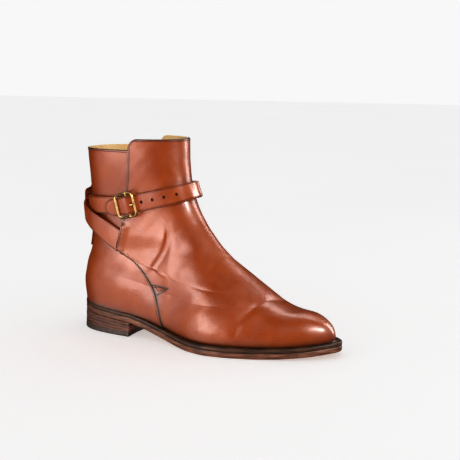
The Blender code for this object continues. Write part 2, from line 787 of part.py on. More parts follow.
def shaft_point(turn, height):
    """A point on the upper's outside by its turn round the shaft and height over the heel seat."""
    turn = np.asarray(turn, float) % 1.0
    z = HEEL_SEAT + np.asarray(height, float)
    s = (1 - np.cos(2 * math.pi * turn)) / 2
    x = front_at(z) * (1 - s) + back_at(z) * s
    y = np.where(turn < 0.5, side_y(OUTER, x, z), side_y(INNER, x, z))
    return np.stack([x, y, z], axis=-1)


def shaft_frame(turn, height):
    """Points, outward normals, and how the points move with turn and with height."""
    ahead, behind = shaft_point(turn + PROBE_TURN, height), shaft_point(turn - PROBE_TURN, height)
    above, below = shaft_point(turn, height + PROBE_UP), shaft_point(turn, height - PROBE_UP)
    by_turn = (ahead - behind) / (2 * PROBE_TURN)
    by_up = (above - below) / (2 * PROBE_UP)
    normal = np.cross(by_up, by_turn)
    normal /= np.linalg.norm(normal, axis=-1, keepdims=True)
    return (ahead + behind) / 2, normal, by_turn, by_up


def route_samples(rows, step):
    """A strap's middle line at even steps: distance, turn, height and lift, all but turn in metres."""
    spots = np.arange(len(rows))
    fine = np.linspace(0, len(rows) - 1, 40 * len(rows))
    turn = hermite(spots, [row.turn for row in rows], fine)
    height = hermite(spots, [row.height for row in rows], fine) * UPPER_HEIGHT
    lift = hermite(spots, [row.lift for row in rows], fine) * LAYER
    s = along_path(shaft_frame(turn, height)[0])
    count = max(int(round(s[-1] / step)), 2)
    at = np.linspace(0, s[-1], count + 1)
    return at, np.interp(at, s, turn), np.interp(at, s, height), np.interp(at, s, lift)


def pull_to_seam(turn, height):
    """Turns moved back where they would pass the front panel's edge, which a strap comes out from under."""
    z = HEEL_SEAT + height
    limits = []
    for side in (OUTER, INNER):
        share = (front_at(z) - seam_at(z, side) + SEAM_CLEARANCE) / (front_at(z) - back_at(z))
        limits.append(np.arccos(1 - 2 * np.clip(share, 0, 1)) / (2 * math.pi))
    return np.clip(turn, limits[0], 1 - limits[1])


def strap_sections(rows, width_of, thickness, rooted):
    """Sections of a strap laid on the upper, with edges that are a little thinner. A rooted strap starts along
    the front panel's edge."""
    at, turns, heights, lifts = route_samples(rows, SECTION_STEP)
    middles, normal, by_turn, by_up = shaft_frame(turns, heights)
    ahead = np.gradient(middles, axis=0)
    ahead -= normal * np.sum(ahead * normal, axis=1, keepdims=True)
    ahead /= np.linalg.norm(ahead, axis=1, keepdims=True)
    across = np.cross(normal, ahead)
    moves = [np.linalg.lstsq(np.column_stack([t, u]), w, rcond=None)[0] for t, u, w in zip(by_turn, by_up, across)]
    moves = np.array(moves) * (width_of(at, at[-1]) / 2)[:, None]
    low, high = [], []
    for share in (-1.0, -0.5, 0.0, 0.5, 1.0):
        turn = turns + moves[:, 0] * share
        height = heights + moves[:, 1] * share
        if rooted:
            turn = np.where(at < STRAP_ROOT_LENGTH, pull_to_seam(turn, height), turn)
        spot, out = shaft_frame(turn, height)[:2]
        edge = EDGE_THINNING * thickness if abs(share) == 1.0 else 0.0
        low.append(spot + out * (LAID + lifts + edge)[:, None])
        high.append(spot + out * (LAID + lifts + thickness - edge)[:, None])
    return list(np.stack(low + high[::-1], axis=1))


def root_width(s):
    return STRAP_WIDTH + (STRAP_ROOT_WIDTH - STRAP_WIDTH) * (1 - ease(s / STRAP_ROOT_LENGTH))


def buckle_strap_width(s, total):
    return root_width(s)


def long_strap_width(s, total):
    left = np.clip((total - s) / STRAP_TIP, TIP_BLUNTNESS, 1)
    return root_width(s) * np.sqrt(1 - (1 - left) ** 2)


def loop_width(s, total):
    return np.full(len(s), LOOP_WIDTH)


def clear_scene():
    for item in list(bpy.data.objects):
        bpy.data.objects.remove(item, do_unlink=True)


def frame_matrix(point, normal, ahead):
    z_axis = Vector(normal)
    x_axis = Vector(ahead).normalized()
    x_axis = (x_axis - z_axis * x_axis.dot(z_axis)).normalized()
    y_axis = z_axis.cross(x_axis)
    return Matrix((
        (x_axis.x, y_axis.x, z_axis.x, point[0]),
        (x_axis.y, y_axis.y, z_axis.y, point[1]),
        (x_axis.z, y_axis.z, z_axis.z, point[2]),
        (0, 0, 0, 1),
    ))


def route_place(turn):
    """Matrix on the leather under the long strap's middle, x towards the strap's tip and z outward."""
    turns = [row.turn for row in LONG_STRAP]
    heights = [row.height * UPPER_HEIGHT for row in LONG_STRAP]
    point, normal = shaft_frame(turn, float(hermite(turns, heights, turn)))[:2]
    next_turn = turn + 0.01
    next_point = shaft_frame(next_turn, float(hermite(turns, heights, next_turn)))[0]
    return frame_matrix(point, normal, next_point - point)


def strap_past_bar(distance):
    """The long strap's turn and its lift at a distance past the buckle's bar, towards the tip."""
    at, turns, _, lifts = route_samples(LONG_STRAP, ROUTE_STEP)
    bar = np.interp(BUCKLE_TURN, turns, at)
    return float(np.interp(bar + distance, at, turns)), float(np.interp(bar + distance, at, lifts))


def tube(path, radius, sides=8, closed=False):
    """Sections of a round wire along a path of points."""
    path = np.array(path)
    total = len(path)
    sections = []
    for n in range(total):
        if closed:
            ahead = path[(n + 1) % total] - path[n - 1]
        else:
            ahead = path[min(n + 1, total - 1)] - path[max(n - 1, 0)]
        ahead /= np.linalg.norm(ahead)
        side = np.cross(ahead, [0, 0, 1] if abs(ahead[2]) < 0.9 else [0, 1, 0])
        side /= np.linalg.norm(side)
        up = np.cross(side, ahead)
        angles = np.linspace(0, 2 * math.pi, sides, endpoint=False)
        sections.append(path[n] + radius * (np.outer(np.cos(angles), side) + np.outer(np.sin(angles), up)))
    return sections


def guide(name, points, faces, parent, place):
    """A wire-drawn solid that only adds to or cuts another one."""
    body = make(name, points, faces, BRASS, parent)
    body.hide_render = True
    body.display_type = "WIRE"
    body.matrix_local = place
    return body


def combine(body, other, operation):
    step = body.modifiers.new(other.name, "BOOLEAN")
    step.operation = operation
    step.solver = "EXACT"
    step.object = other


def wire_over_strap(place, x):
    """Height for the middle of a wire that lies on the long strap, in the buckle's own axes."""
    tops = []
    for edge in (-BUCKLE_WIRE, 0.0, BUCKLE_WIRE):
        turn, lift = strap_past_bar(x + edge)
        leather = (place.inverted() @ route_place(turn).translation).z
        tops.append(leather + LAID + lift + STRAP_THICKNESS)
    return max(tops) + GAP + BUCKLE_WIRE


BAR_HEIGHT = LAID + EYE_LEATHER + GAP + BUCKLE_WIRE


def make_buckle(parent, long_strap, buckle_strap):
    """The centre-bar buckle: its frame, the prong round the bar, and the cuts that both make in the straps."""
    place = route_place(BUCKLE_TURN)
    half_l = BUCKLE_LENGTH / 2 - BUCKLE_WIRE
    half_w = BUCKLE_WIDTH / 2 - BUCKLE_WIRE
    front_bar = wire_over_strap(place, -half_l)
    back_bar = wire_over_strap(place, half_l)

    def wire_height(x):
        end = back_bar if x > 0 else front_bar
        return BAR_HEIGHT + (end - BAR_HEIGHT) * (abs(x) / half_l) ** 1.3

    path = []
    for quarter, (sign_x, sign_y) in enumerate(((1, 1), (-1, 1), (-1, -1), (1, -1))):
        for share in np.linspace(0, 1, 5):
            angle = (quarter + share) * math.pi / 2
            x = sign_x * (half_l - BUCKLE_CORNER) + BUCKLE_CORNER * math.cos(angle)
            y = sign_y * (half_w - BUCKLE_CORNER) + BUCKLE_CORNER * math.sin(angle)
            path.append((x, y))
        if quarter in (0, 2):
            path.extend([(sign_x * half_l * share, sign_y * half_w) for share in (0.3, 0.0, -0.3)])
    wire = tube([(x, y, wire_height(x)) for x, y in path], BUCKLE_WIRE, closed=True)
    frame = make("buckle_frame", *loft(wire, closed_path=True), BRASS, parent)
    frame.matrix_local = place
    bar_line = [(0, -half_w, BAR_HEIGHT), (0, 0, BAR_HEIGHT), (0, half_w, BAR_HEIGHT)]
    bar = guide("guide_bar", *loft(tube(bar_line, BUCKLE_WIRE * 0.98)), parent, place)
    combine(frame, bar, "UNION")

    eye_half = STRAP_WIDTH / 2 - EYE_MARGIN
    eye_line = [(0, -eye_half, BAR_HEIGHT), (0, 0, BAR_HEIGHT), (0, eye_half, BAR_HEIGHT)]
    bore_line = [(0, -2 * eye_half, BAR_HEIGHT), (0, 0, BAR_HEIGHT), (0, 2 * eye_half, BAR_HEIGHT)]
    bore_radius = BUCKLE_WIRE + 2 * GAP
    eye = guide("guide_eye", *loft(tube(eye_line, bore_radius + EYE_LEATHER, sides=12)), parent, place)
    bore = guide("guide_bore", *loft(tube(bore_line, bore_radius, sides=10)), parent, place)
    slot_half = PRONG_RADIUS + 2 * GAP
    slot_box = box((-SLOT_FRONT, -slot_half, 0.0), (SLOT_BACK, slot_half, CUT_DEPTH))
    slot = guide("guide_slot", *slot_box, parent, place)
    combine(buckle_strap, eye, "UNION")
    combine(buckle_strap, bore, "DIFFERENCE")
    combine(buckle_strap, slot, "DIFFERENCE")

    ring_radius = BUCKLE_WIRE + GAP + PRONG_RADIUS
    ring_path = []
    for angle in np.linspace(0, 2 * math.pi, 12, endpoint=False):
        ring_path.append((ring_radius * math.cos(angle), 0, BAR_HEIGHT + ring_radius * math.sin(angle)))
    prong = make("buckle_prong", *loft(ring_sections(ring_path, BAR_HEIGHT), closed_path=True), BRASS, parent)
    prong.matrix_local = place
    rest = front_bar + BUCKLE_WIRE + GAP + PRONG_RADIUS
    rod_path = [
        (-0.08 * half_l, 0, BAR_HEIGHT + ring_radius),
        (-0.48 * half_l, 0, rest + 0.6 * PRONG_RADIUS),
        (-0.80 * half_l, 0, rest + 0.5 * PRONG_RADIUS),
        (-half_l, 0, rest),
        (-half_l - PRONG_OVERHANG, 0, rest - 0.4 * PRONG_RADIUS),
    ]
    rod = guide("guide_rod", *loft(tube(rod_path, PRONG_RADIUS)), parent, place)
    combine(prong, rod, "UNION")

    gate_box = box((-GATE_FRONT, -slot_half, GAP), (-GATE_BACK, slot_half, CUT_DEPTH))
    gate = guide("guide_gate", *gate_box, parent, place)
    combine(long_strap, gate, "DIFFERENCE")
    for number in range(1, HOLE_COUNT + 1):
        centre = route_place(strap_past_bar(-HOLE_START - HOLE_SPACING * number)[0])
        pin = [(0, 0, 0), (0, 0, CUT_DEPTH / 2), (0, 0, CUT_DEPTH)]
        punch = guide(f"guide_hole_{number}", *loft(tube(pin, HOLE_RADIUS, sides=10)), parent, centre)
        combine(long_strap, punch, "DIFFERENCE")


def ring_sections(path, height):
    """Sections of a wire ring that stands on edge round the bar."""
    sections = []
    for x, y, z in path:
        outward = np.array([x, 0, z - height])
        outward /= np.linalg.norm(outward)
        angles = np.linspace(0, 2 * math.pi, 8, endpoint=False)
        ring = np.array([x, y, z]) + PRONG_RADIUS * (
            np.outer(np.cos(angles), outward) + np.outer(np.sin(angles), [0, 1, 0])
        )
        sections.append(ring)
    return sections


def box(low, high):
    corners = [(x, y, z) for x in (low[0], high[0]) for y in (low[1], high[1]) for z in (low[2], high[2])]
    faces = [[0, 1, 3, 2], [4, 6, 7, 5], [0, 4, 5, 1], [2, 3, 7, 6], [0, 2, 6, 4], [1, 5, 7, 3]]
    return np.array(corners), faces


def centre_on_origin(root):
    """Move the boot so that the middle of its footprint's box is over the origin."""
    bpy.context.view_layer.update()
    corners = []
    for body in root.children:
        if not body.hide_render:
            corners += [body.matrix_world @ Vector(corner) for corner in body.bound_box]
    corners = np.array(corners)
    middle = (corners.max(axis=0) + corners.min(axis=0)) / 2
    root.location = (-middle[0], -middle[1], 0)
    bpy.context.view_layer.update()


def main():
    clear_scene()
    root = bpy.data.objects.new("boot", None)
    bpy.context.collection.objects.link(root)
    make_outsole(root)
    make_welt(root)
    make_insole(root)
    make_heel(root)
    make_upper(root)
    straps = {}
    for name, rows, width_of, thickness, rooted in (
        ("long_strap", LONG_STRAP, long_strap_width, STRAP_THICKNESS, True),
        ("buckle_strap", BUCKLE_STRAP, buckle_strap_width, STRAP_THICKNESS, True),
        ("back_loop", LOOP_ROUTE, loop_width, LOOP_THICKNESS, False),
    ):
        sections = strap_sections(rows, width_of, thickness, rooted)
        straps[name] = make(name, *loft(sections), STRAP_LEATHER, root)
    make_buckle(root, straps["long_strap"], straps["buckle_strap"])
    centre_on_origin(root)


main()
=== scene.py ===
"""The looks of the jodhpur boot: a fine leather upper with its panels, creases and stitches, straps, brass
buckle, welt, sole and stacked heel, with studio light and a camera at the photograph's angle.

The shape functions are the same as the model's: x runs from the back edge of the sole, and adding TO_ROW
moves a point into the row frame.
"""

import math
from collections import namedtuple

import bmesh
import bpy
import numpy as np
from mathutils import Matrix, Vector


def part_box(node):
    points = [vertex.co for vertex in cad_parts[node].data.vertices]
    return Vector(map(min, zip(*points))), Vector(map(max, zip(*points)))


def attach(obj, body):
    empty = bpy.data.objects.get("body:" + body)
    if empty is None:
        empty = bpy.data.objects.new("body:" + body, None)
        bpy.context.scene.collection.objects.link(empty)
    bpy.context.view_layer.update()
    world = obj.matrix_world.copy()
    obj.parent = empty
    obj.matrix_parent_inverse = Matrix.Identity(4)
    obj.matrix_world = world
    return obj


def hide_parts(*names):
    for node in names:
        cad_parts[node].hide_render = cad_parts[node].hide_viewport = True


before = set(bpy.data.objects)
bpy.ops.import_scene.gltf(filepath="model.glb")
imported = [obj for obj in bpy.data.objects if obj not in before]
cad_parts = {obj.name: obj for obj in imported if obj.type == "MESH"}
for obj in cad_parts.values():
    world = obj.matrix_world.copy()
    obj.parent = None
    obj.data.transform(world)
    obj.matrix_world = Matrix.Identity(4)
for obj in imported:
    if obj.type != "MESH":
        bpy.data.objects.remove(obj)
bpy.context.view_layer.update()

# Driving sizes
SOLE_LENGTH = 0.3007
BALL_WIDTH = 0.106
UPPER_HEIGHT = 0.1795
QUARTER_DROP = 0.0115
INSTEP_HEIGHT = 0.0900
SOLE_THICKNESS = 0.0060
WELT_THICKNESS = 0.0040
WALL = 0.0022
HEEL_HEIGHT = 0.0205
HEEL_BREAST_HEIGHT = 0.0148
HEEL_LENGTH = 0.0750
HEEL_FLARE = 0.0012
ARCH_FULLNESS = 2.2
TOE_CURVE = 1.8
BREAST_HOLLOW = 0.0040
TOP_PIECE_THICKNESS = 0.0050
TOE_SPRING = 0.0058
PANEL_STEP = 0.0013
QUARTER_STEP = 0.0010
PANEL_CORNER = 0.0090
SEAM_INNER_SHIFT = 0.0060
STRAP_WIDTH = 0.0190
STRAP_ROOT_WIDTH = 0.0235
STRAP_ROOT_LENGTH = 0.0600
STRAP_THICKNESS = 0.0026
STRAP_TIP = 0.0110
LOOP_WIDTH = 0.0135
LOOP_THICKNESS = 0.0020
HOLE_RADIUS = 0.0016
HOLE_SPACING = 0.0120
HOLE_COUNT = 4
BUCKLE_LENGTH = 0.0228
BUCKLE_WIDTH = 0.0275
BUCKLE_WIRE = 0.0012
PRONG_RADIUS = 0.0009
GAP = 0.0003
SEAT_GAP = 0.0006
SEAM_CLEARANCE = 0.0008
BUCKLE_CORNER = 0.0042
EYE_LEATHER = 0.0013
EYE_MARGIN = 0.0010
GATE_FRONT = 0.0075
HOLE_START = 0.0040
CUT_DEPTH = 0.0160
BREAST_MARGIN = 0.0010
LAID = SEAT_GAP + PANEL_STEP
LAYER = STRAP_THICKNESS + SEAT_GAP

# The flat tread under the ball, as shares of the sole's length
BALL_BACK = 0.54
BALL_FRONT = 0.72

# Smoothness of the shared outlines
MARGIN_BLEND = 0.2
BULGE_BLEND = 0.4
BULGE_LEAN = 0.7
HEEL_SIDE_POINTS = 19
BREAST_POINTS = 9
HEADING_TURN = 0.01

OUTER, INNER = -1, 1

# Outline of the outsole from above: share of the length, then the two edges as shares of the ball width
OutlineRow = namedtuple("OutlineRow", "along outer inner")
OUTLINE = [
    OutlineRow(0.000, 0.000, 0.000),
    OutlineRow(0.006, -0.092, 0.092),
    OutlineRow(0.020, -0.160, 0.160),
    OutlineRow(0.055, -0.240, 0.240),
    OutlineRow(0.115, -0.296, 0.296),
    OutlineRow(0.195, -0.318, 0.315),
    OutlineRow(0.295, -0.326, 0.285),
    OutlineRow(0.395, -0.368, 0.250),
    OutlineRow(0.476, -0.435, 0.262),
    OutlineRow(0.537, -0.492, 0.310),
    OutlineRow(0.597, -0.520, 0.378),
    OutlineRow(0.658, -0.497, 0.440),
    OutlineRow(0.718, -0.447, 0.474),
    OutlineRow(0.779, -0.388, 0.474),
    OutlineRow(0.839, -0.320, 0.440),
    OutlineRow(0.900, -0.225, 0.372),
    OutlineRow(0.950, -0.112, 0.285),
    OutlineRow(0.985, 0.000, 0.190),
    OutlineRow(0.996, 0.045, 0.138),
    OutlineRow(1.000, 0.090, 0.090),
]

# How far the upper stands in from the sole's edge, as shares of the ball width
MarginRow = namedtuple("MarginRow", "along outer inner")
MARGINS = [
    MarginRow(0.00, 0.010, 0.010),
    MarginRow(0.20, 0.012, 0.012),
    MarginRow(0.34, 0.036, 0.022),
    MarginRow(0.50, 0.048, 0.030),
    MarginRow(0.65, 0.052, 0.044),
    MarginRow(0.85, 0.054, 0.052),
    MarginRow(1.00, 0.056, 0.056),
]

# The ridge of the vamp from the throat to the toe: share of the length, share of the instep height over the
# feather line, the ridge's place sideways and the bulge over the welt as shares of the ball width, and how
# full the section is (2 is an ellipse, more is squarer)
VampRow = namedtuple("VampRow", "along height sideways outer_bulge inner_bulge fullness")
VAMP = [
    VampRow(0.542, 1.070, 0.000, 0.030, 0.045, 1.80),
    VampRow(0.603, 0.885, 0.010, 0.028, 0.045, 1.85),
    VampRow(0.674, 0.705, 0.025, 0.022, 0.035, 1.95),
    VampRow(0.733, 0.545, 0.038, 0.018, 0.022, 2.10),
    VampRow(0.787, 0.410, 0.048, 0.016, 0.018, 2.30),
    VampRow(0.839, 0.352, 0.055, 0.016, 0.016, 2.40),
    VampRow(0.889, 0.330, 0.062, 0.018, 0.018, 2.40),
    VampRow(0.929, 0.268, 0.067, 0.020, 0.020, 2.30),
    VampRow(0.956, 0.185, 0.070, 0.022, 0.022, 2.20),
]

# The shaft's front and back from the collar down, over the heel seat: share of the upper's height, then
# shares of the length
ShaftRow = namedtuple("ShaftRow", "height front back")
SHAFT = [
    ShaftRow(1.000, 0.418, 0.029),
    ShaftRow(0.880, 0.420, 0.032),
    ShaftRow(0.760, 0.428, 0.035),
    ShaftRow(0.620, 0.456, 0.038),
    ShaftRow(0.520, 0.493, 0.040),
    ShaftRow(0.440, 0.531, 0.038),
    ShaftRow(0.330, 0.597, 0.027),
    ShaftRow(0.220, 0.698, 0.007),
    ShaftRow(0.120, 0.798, -0.004),
    ShaftRow(0.000, 0.960, 0.002),
]
SHAFT_FRONT_ROWS = 5

# Half widths of the rear of the boot at the same heights, as shares of the ball width, and the place of the
# widest point as a share of the length
LevelRow = namedtuple("LevelRow", "height outer inner widest")
LEVELS = [
    LevelRow(1.000, 0.350, 0.350, 0.174),
    LevelRow(0.870, 0.335, 0.335, 0.179),
    LevelRow(0.760, 0.312, 0.312, 0.184),
    LevelRow(0.650, 0.290, 0.290, 0.184),
    LevelRow(0.530, 0.275, 0.278, 0.189),
    LevelRow(0.360, 0.285, 0.288, 0.199),
    LevelRow(0.230, 0.305, 0.305, 0.209),
    LevelRow(0.110, 0.318, 0.312, 0.214),
    LevelRow(0.000, 0.308, 0.304, 0.214),
]
ROUNDNESS = 2.2
SEAT_FADE = 0.040

# Where the rear's level sections hand over to the vamp's upright ones: along the seat, lean and reach
HANDOVER_ALONG = 0.090
HANDOVER_LEAN = 0.62
HANDOVER_REACH = 0.030

# The swell over the welt: where it starts and is full as shares of the sole's length, and how high it reaches
BULGE_BACK = 0.10
BULGE_FULL = 0.40
BULGE_HEIGHT = 0.038

# The seam between the front panel or vamp and the quarters, seen from the side: share of the upper's height
# over the heel seat, then share of the length
SeamRow = namedtuple("SeamRow", "height along")
SEAM = [
    SeamRow(1.050, 0.266),
    SeamRow(0.830, 0.256),
    SeamRow(0.600, 0.232),
    SeamRow(0.437, 0.211),
    SeamRow(0.360, 0.200),
    SeamRow(0.330, 0.212),
    SeamRow(0.307, 0.245),
    SeamRow(0.256, 0.293),
    SeamRow(0.178, 0.334),
    SeamRow(0.080, 0.369),
    SeamRow(0.000, 0.386),
    SeamRow(-0.110, 0.405),
]
SEAM_CROSSOVER = 0.345
STEP_FADE = 0.020

# Rows of the upper: how much of their spacing along the front is even, how fast the rest grows, and how fast
# they leave the seat's curve
ROWS_EVEN = 0.25
ROWS_POWER = 1.7
SEAT_POWER = 6

# Space between the samples of a route, and the steps that its slopes are taken over
ROUTE_STEP = 0.002
PROBE_TURN = 0.004
PROBE_UP = 0.0015

# Strap routes: turn round the shaft (0 front, 0.25 outer side, 0.5 back, 0.75 inner side, 1 front again),
# height of the middle as a share of the upper's height over the heel seat, and lift off the leather in layers
# of strap
RouteRow = namedtuple("RouteRow", "turn height lift")
LONG_STRAP = [
    RouteRow(0.300, 0.395, 0.00),
    RouteRow(0.330, 0.436, 0.10),
    RouteRow(0.358, 0.476, 0.60),
    RouteRow(0.400, 0.520, 1.20),
    RouteRow(0.450, 0.557, 1.80),
    RouteRow(0.500, 0.587, 1.70),
    RouteRow(0.550, 0.610, 1.40),
    RouteRow(0.600, 0.630, 1.05),
    RouteRow(0.640, 0.641, 0.60),
    RouteRow(0.680, 0.651, 0.10),
    RouteRow(0.750, 0.665, 0.00),
    RouteRow(0.850, 0.684, 0.05),
    RouteRow(0.930, 0.697, 0.20),
    RouteRow(0.970, 0.701, 1.00),
    RouteRow(1.000, 0.701, 2.50),
    RouteRow(1.025, 0.699, 1.50),
    RouteRow(1.060, 0.693, 0.30),
    RouteRow(1.130, 0.674, 0.05),
    RouteRow(1.175, 0.656, 0.05),
    RouteRow(1.2065, 0.642, 0.30),
    RouteRow(1.2255, 0.634, 1.25),
    RouteRow(1.2445, 0.625, 2.05),
    RouteRow(1.2635, 0.616, 1.70),
    RouteRow(1.2825, 0.607, 1.25),
    RouteRow(1.299, 0.600, 1.12),
    RouteRow(1.318, 0.592, 1.08),
]
BUCKLE_TURN = 1.2445
BUCKLE_STRAP = [
    RouteRow(0.700, 0.395, 0.0),
    RouteRow(0.670, 0.436, 0.0),
    RouteRow(0.642, 0.476, 0.0),
    RouteRow(0.600, 0.520, 0.0),
    RouteRow(0.550, 0.557, 0.0),
    RouteRow(0.500, 0.583, 0.0),
    RouteRow(0.450, 0.598, 0.0),
    RouteRow(0.400, 0.603, 0.0),
    RouteRow(0.350, 0.607, 0.0),
    RouteRow(0.300, 0.612, 0.0),
    RouteRow(0.250, 0.623, 0.0),
]
LOOP_ROUTE = [
    RouteRow(0.5, 0.325, 0.00),
    RouteRow(0.5, 0.430, 0.15),
    RouteRow(0.5, 0.500, 2.40),
    RouteRow(0.5, 0.530, 2.80),
    RouteRow(0.5, 0.590, 2.85),
    RouteRow(0.5, 0.650, 2.80),
    RouteRow(0.5, 0.675, 2.30),
    RouteRow(0.5, 0.692, 0.40),
    RouteRow(0.5, 0.708, 0.00),
]

FINE = 1100

# How far the middle of the fine upper's rows hangs, so that they don't run along the vamp's ridge
ROW_SAG = 0.014


def hermite(xs, ys, at):
    """Cubic interpolation with monotone slopes, so that it doesn't overshoot its points."""
    xs, ys = np.asarray(xs, float), np.asarray(ys, float)
    steps = np.diff(xs)
    rises = np.diff(ys) / steps
    same = rises[:-1] * rises[1:] > 0
    before = np.where(same, rises[:-1], 1.0)
    after = np.where(same, rises[1:], 1.0)
    weight_a = 2 * steps[1:] + steps[:-1]
    weight_b = steps[1:] + 2 * steps[:-1]
    slopes = np.empty(len(xs))
    slopes[1:-1] = np.where(same, (weight_a + weight_b) / (weight_a / before + weight_b / after), 0.0)
    slopes[0], slopes[-1] = rises[0], rises[-1]
    at = np.clip(at, xs[0], xs[-1])
    i = np.clip(np.searchsorted(xs, at, side="right") - 1, 0, len(steps) - 1)
    t = (at - xs[i]) / steps[i]
    value = ys[i] * (1 + 2 * t) * (1 - t) ** 2 + ys[i + 1] * t * t * (3 - 2 * t)
    return value + steps[i] * (slopes[i] * t * (1 - t) ** 2 + slopes[i + 1] * t * t * (t - 1))


def read(rows, column, at, key=0):
    """One column of a table as a smooth curve over its key column."""
    pairs = sorted((row[key], getattr(row, column)) for row in rows)
    return hermite([a for a, b in pairs], [b for a, b in pairs], at)


def ease(t):
    t = np.clip(t, 0.0, 1.0)
    return t * t * (3 - 2 * t)


def along_path(points):
    """Distance along a polyline at each of its points."""
    return np.concatenate([[0.0], np.cumsum(np.linalg.norm(np.diff(points, axis=0), axis=1))])


def sample(at, s, points):
    """Places on a polyline at distances along it, where s holds the distances of its own points."""
    return np.column_stack([np.interp(at, s, points[:, k]) for k in range(points.shape[1])])


def resample(points, count):
    s = along_path(points)
    return sample(s[-1] * np.linspace(0, 1, count), s, points)


def walk(x):
    """Height of the outsole's underside over the floor: heel seat, arch, flat tread and toe spring."""
    x = np.asarray(x, float)
    ball_back = BALL_BACK * SOLE_LENGTH
    ball_front = BALL_FRONT * SOLE_LENGTH
    seat_slope = (HEEL_BREAST_HEIGHT - HEEL_HEIGHT) / HEEL_LENGTH
    heel = HEEL_HEIGHT + seat_slope * x
    span = ball_back - HEEL_LENGTH
    t = np.clip((x - HEEL_LENGTH) / span, 0, 1)
    start = HEEL_BREAST_HEIGHT * (1 + 2 * t) * (1 - t) ** 2
    arch = start + span * ARCH_FULLNESS * seat_slope * t * (1 - t) ** 2
    toe = TOE_SPRING * np.clip((x - ball_front) / (SOLE_LENGTH - ball_front), 0, 1) ** TOE_CURVE
    return np.where(x < HEEL_LENGTH, heel, arch) + toe


def seat(x):
    """Top of the welt, which the upper stands on."""
    return walk(x) + SOLE_THICKNESS + WELT_THICKNESS


def unit(vectors):
    return vectors / np.linalg.norm(vectors, axis=-1, keepdims=True)


def inward_of(ring):
    """Unit directions into a closed anticlockwise outline at each of its points."""
    tangent = unit(np.roll(ring, -1, axis=0) - np.roll(ring, 1, axis=0))
    return np.column_stack([-tangent[:, 1], tangent[:, 0]])


def outline_ring(count=120, inset=0.0):
    """Sole outline from above, anticlockwise from the back. The inset is a distance, or None for the table of
    margins."""
    theta = np.linspace(0, math.pi, count + 1)
    along = (1 - np.cos(theta)) / 2
    inner = read(OUTLINE, "inner", along) * BALL_WIDTH
    outer = read(OUTLINE, "outer", along) * BALL_WIDTH
    x = along * SOLE_LENGTH
    ring = np.concatenate([np.column_stack([x, outer]), np.column_stack([x, inner])[-2:0:-1]])
    ring = resample(np.vstack([ring, ring[:1]]), 2 * count + 1)[:-1]
    if inset is None:
        share = ring[:, 0] / SOLE_LENGTH
        side = ease(0.5 + ring[:, 1] / (MARGIN_BLEND * BALL_WIDTH))
        inset = read(MARGINS, "outer", share) * (1 - side) + read(MARGINS, "inner", share) * side
        inset = inset * BALL_WIDTH
    return ring + inward_of(ring) * np.reshape(inset, (-1, 1))


def edges_of(ring):
    """A closed outline as two graphs, outer and inner edge over x, sharing the back and front points."""
    back, front = int(np.argmin(ring[:, 0])), int(np.argmax(ring[:, 0]))
    ring = np.roll(ring, -back, axis=0)
    front = (front - back) % len(ring)
    outer = ring[: front + 1]
    inner = np.vstack([ring[front:], ring[:1]])[::-1]
    return {OUTER: outer, INNER: inner}


FEATHER = edges_of(outline_ring(inset=None))
FEATHER_BACK = float(FEATHER[OUTER][0, 0])
FEATHER_FRONT = float(FEATHER[OUTER][-1, 0])
HEEL_SEAT = float(seat(FEATHER_BACK))
COLLAR = HEEL_SEAT + UPPER_HEIGHT
CROSSING = HEEL_SEAT + SEAM_CROSSOVER * UPPER_HEIGHT
QUARTER_TOP = COLLAR - QUARTER_DROP


def feather(side, x):
    """The upper's edge on the welt, as y over x."""
    edge = FEATHER[side]
    return np.interp(x, edge[:, 0], edge[:, 1])


def front_profile():
    """The boot's front from the toe's feather line over the vamp's ridge up to the collar."""
    points = [(FEATHER_FRONT, float(seat(FEATHER_FRONT)))]
    for row in reversed(VAMP):
        x = row.along * SOLE_LENGTH
        points.append((x, float(seat(x)) + row.height * INSTEP_HEIGHT))
    for row in reversed(SHAFT[:SHAFT_FRONT_ROWS]):
        points.append((row.front * SOLE_LENGTH, HEEL_SEAT + row.height * UPPER_HEIGHT))
    points = np.array(points)
    s = along_path(points)
    fine = np.linspace(0, s[-1], FINE)
    return np.column_stack([hermite(s, points[:, 0], fine), hermite(s, points[:, 1], fine)])


def back_profile():
    heights = np.linspace(0, 1, FINE)
    x = read(SHAFT, "back", heights) * SOLE_LENGTH
    x += (FEATHER_BACK - x[0]) * ease(1 - heights * UPPER_HEIGHT / (SEAT_FADE / 2))
    return np.column_stack([x, HEEL_SEAT + heights * UPPER_HEIGHT])


FRONT = front_profile()
BACK = back_profile()


def front_at(z):
    return np.interp(z, FRONT[:, 1], FRONT[:, 0])


def ridge_at(x):
    return np.interp(x, FRONT[::-1, 0], FRONT[::-1, 1])


def back_at(z):
    return np.interp(z, BACK[:, 1], BACK[:, 0])


def arc(t, fullness):
    return np.clip(1 - np.clip(t, 0, 1) ** fullness, 0, 1) ** (1 / fullness)


def level_y(side, x, z):
    """Half width of a level section at height z."""
    share = (z - HEEL_SEAT) / UPPER_HEIGHT
    half = read(LEVELS, "outer" if side == OUTER else "inner", share) * BALL_WIDTH
    widest = read(LEVELS, "widest", share) * SOLE_LENGTH
    rear = (widest - x) / (widest - back_at(z))
    fore = (x - widest) / np.maximum(front_at(z) - widest, 1e-4)
    return half * arc(np.where(x < widest, rear, fore), ROUNDNESS)


def rear_y(side, x, z):
    shifted = x - back_at(z) + FEATHER_BACK
    at_seat = side * feather(side, shifted) - level_y(side, shifted, HEEL_SEAT)
    fade = ease(1 - (z - seat(x)) / SEAT_FADE)
    return side * (level_y(side, x, z) + at_seat * fade)


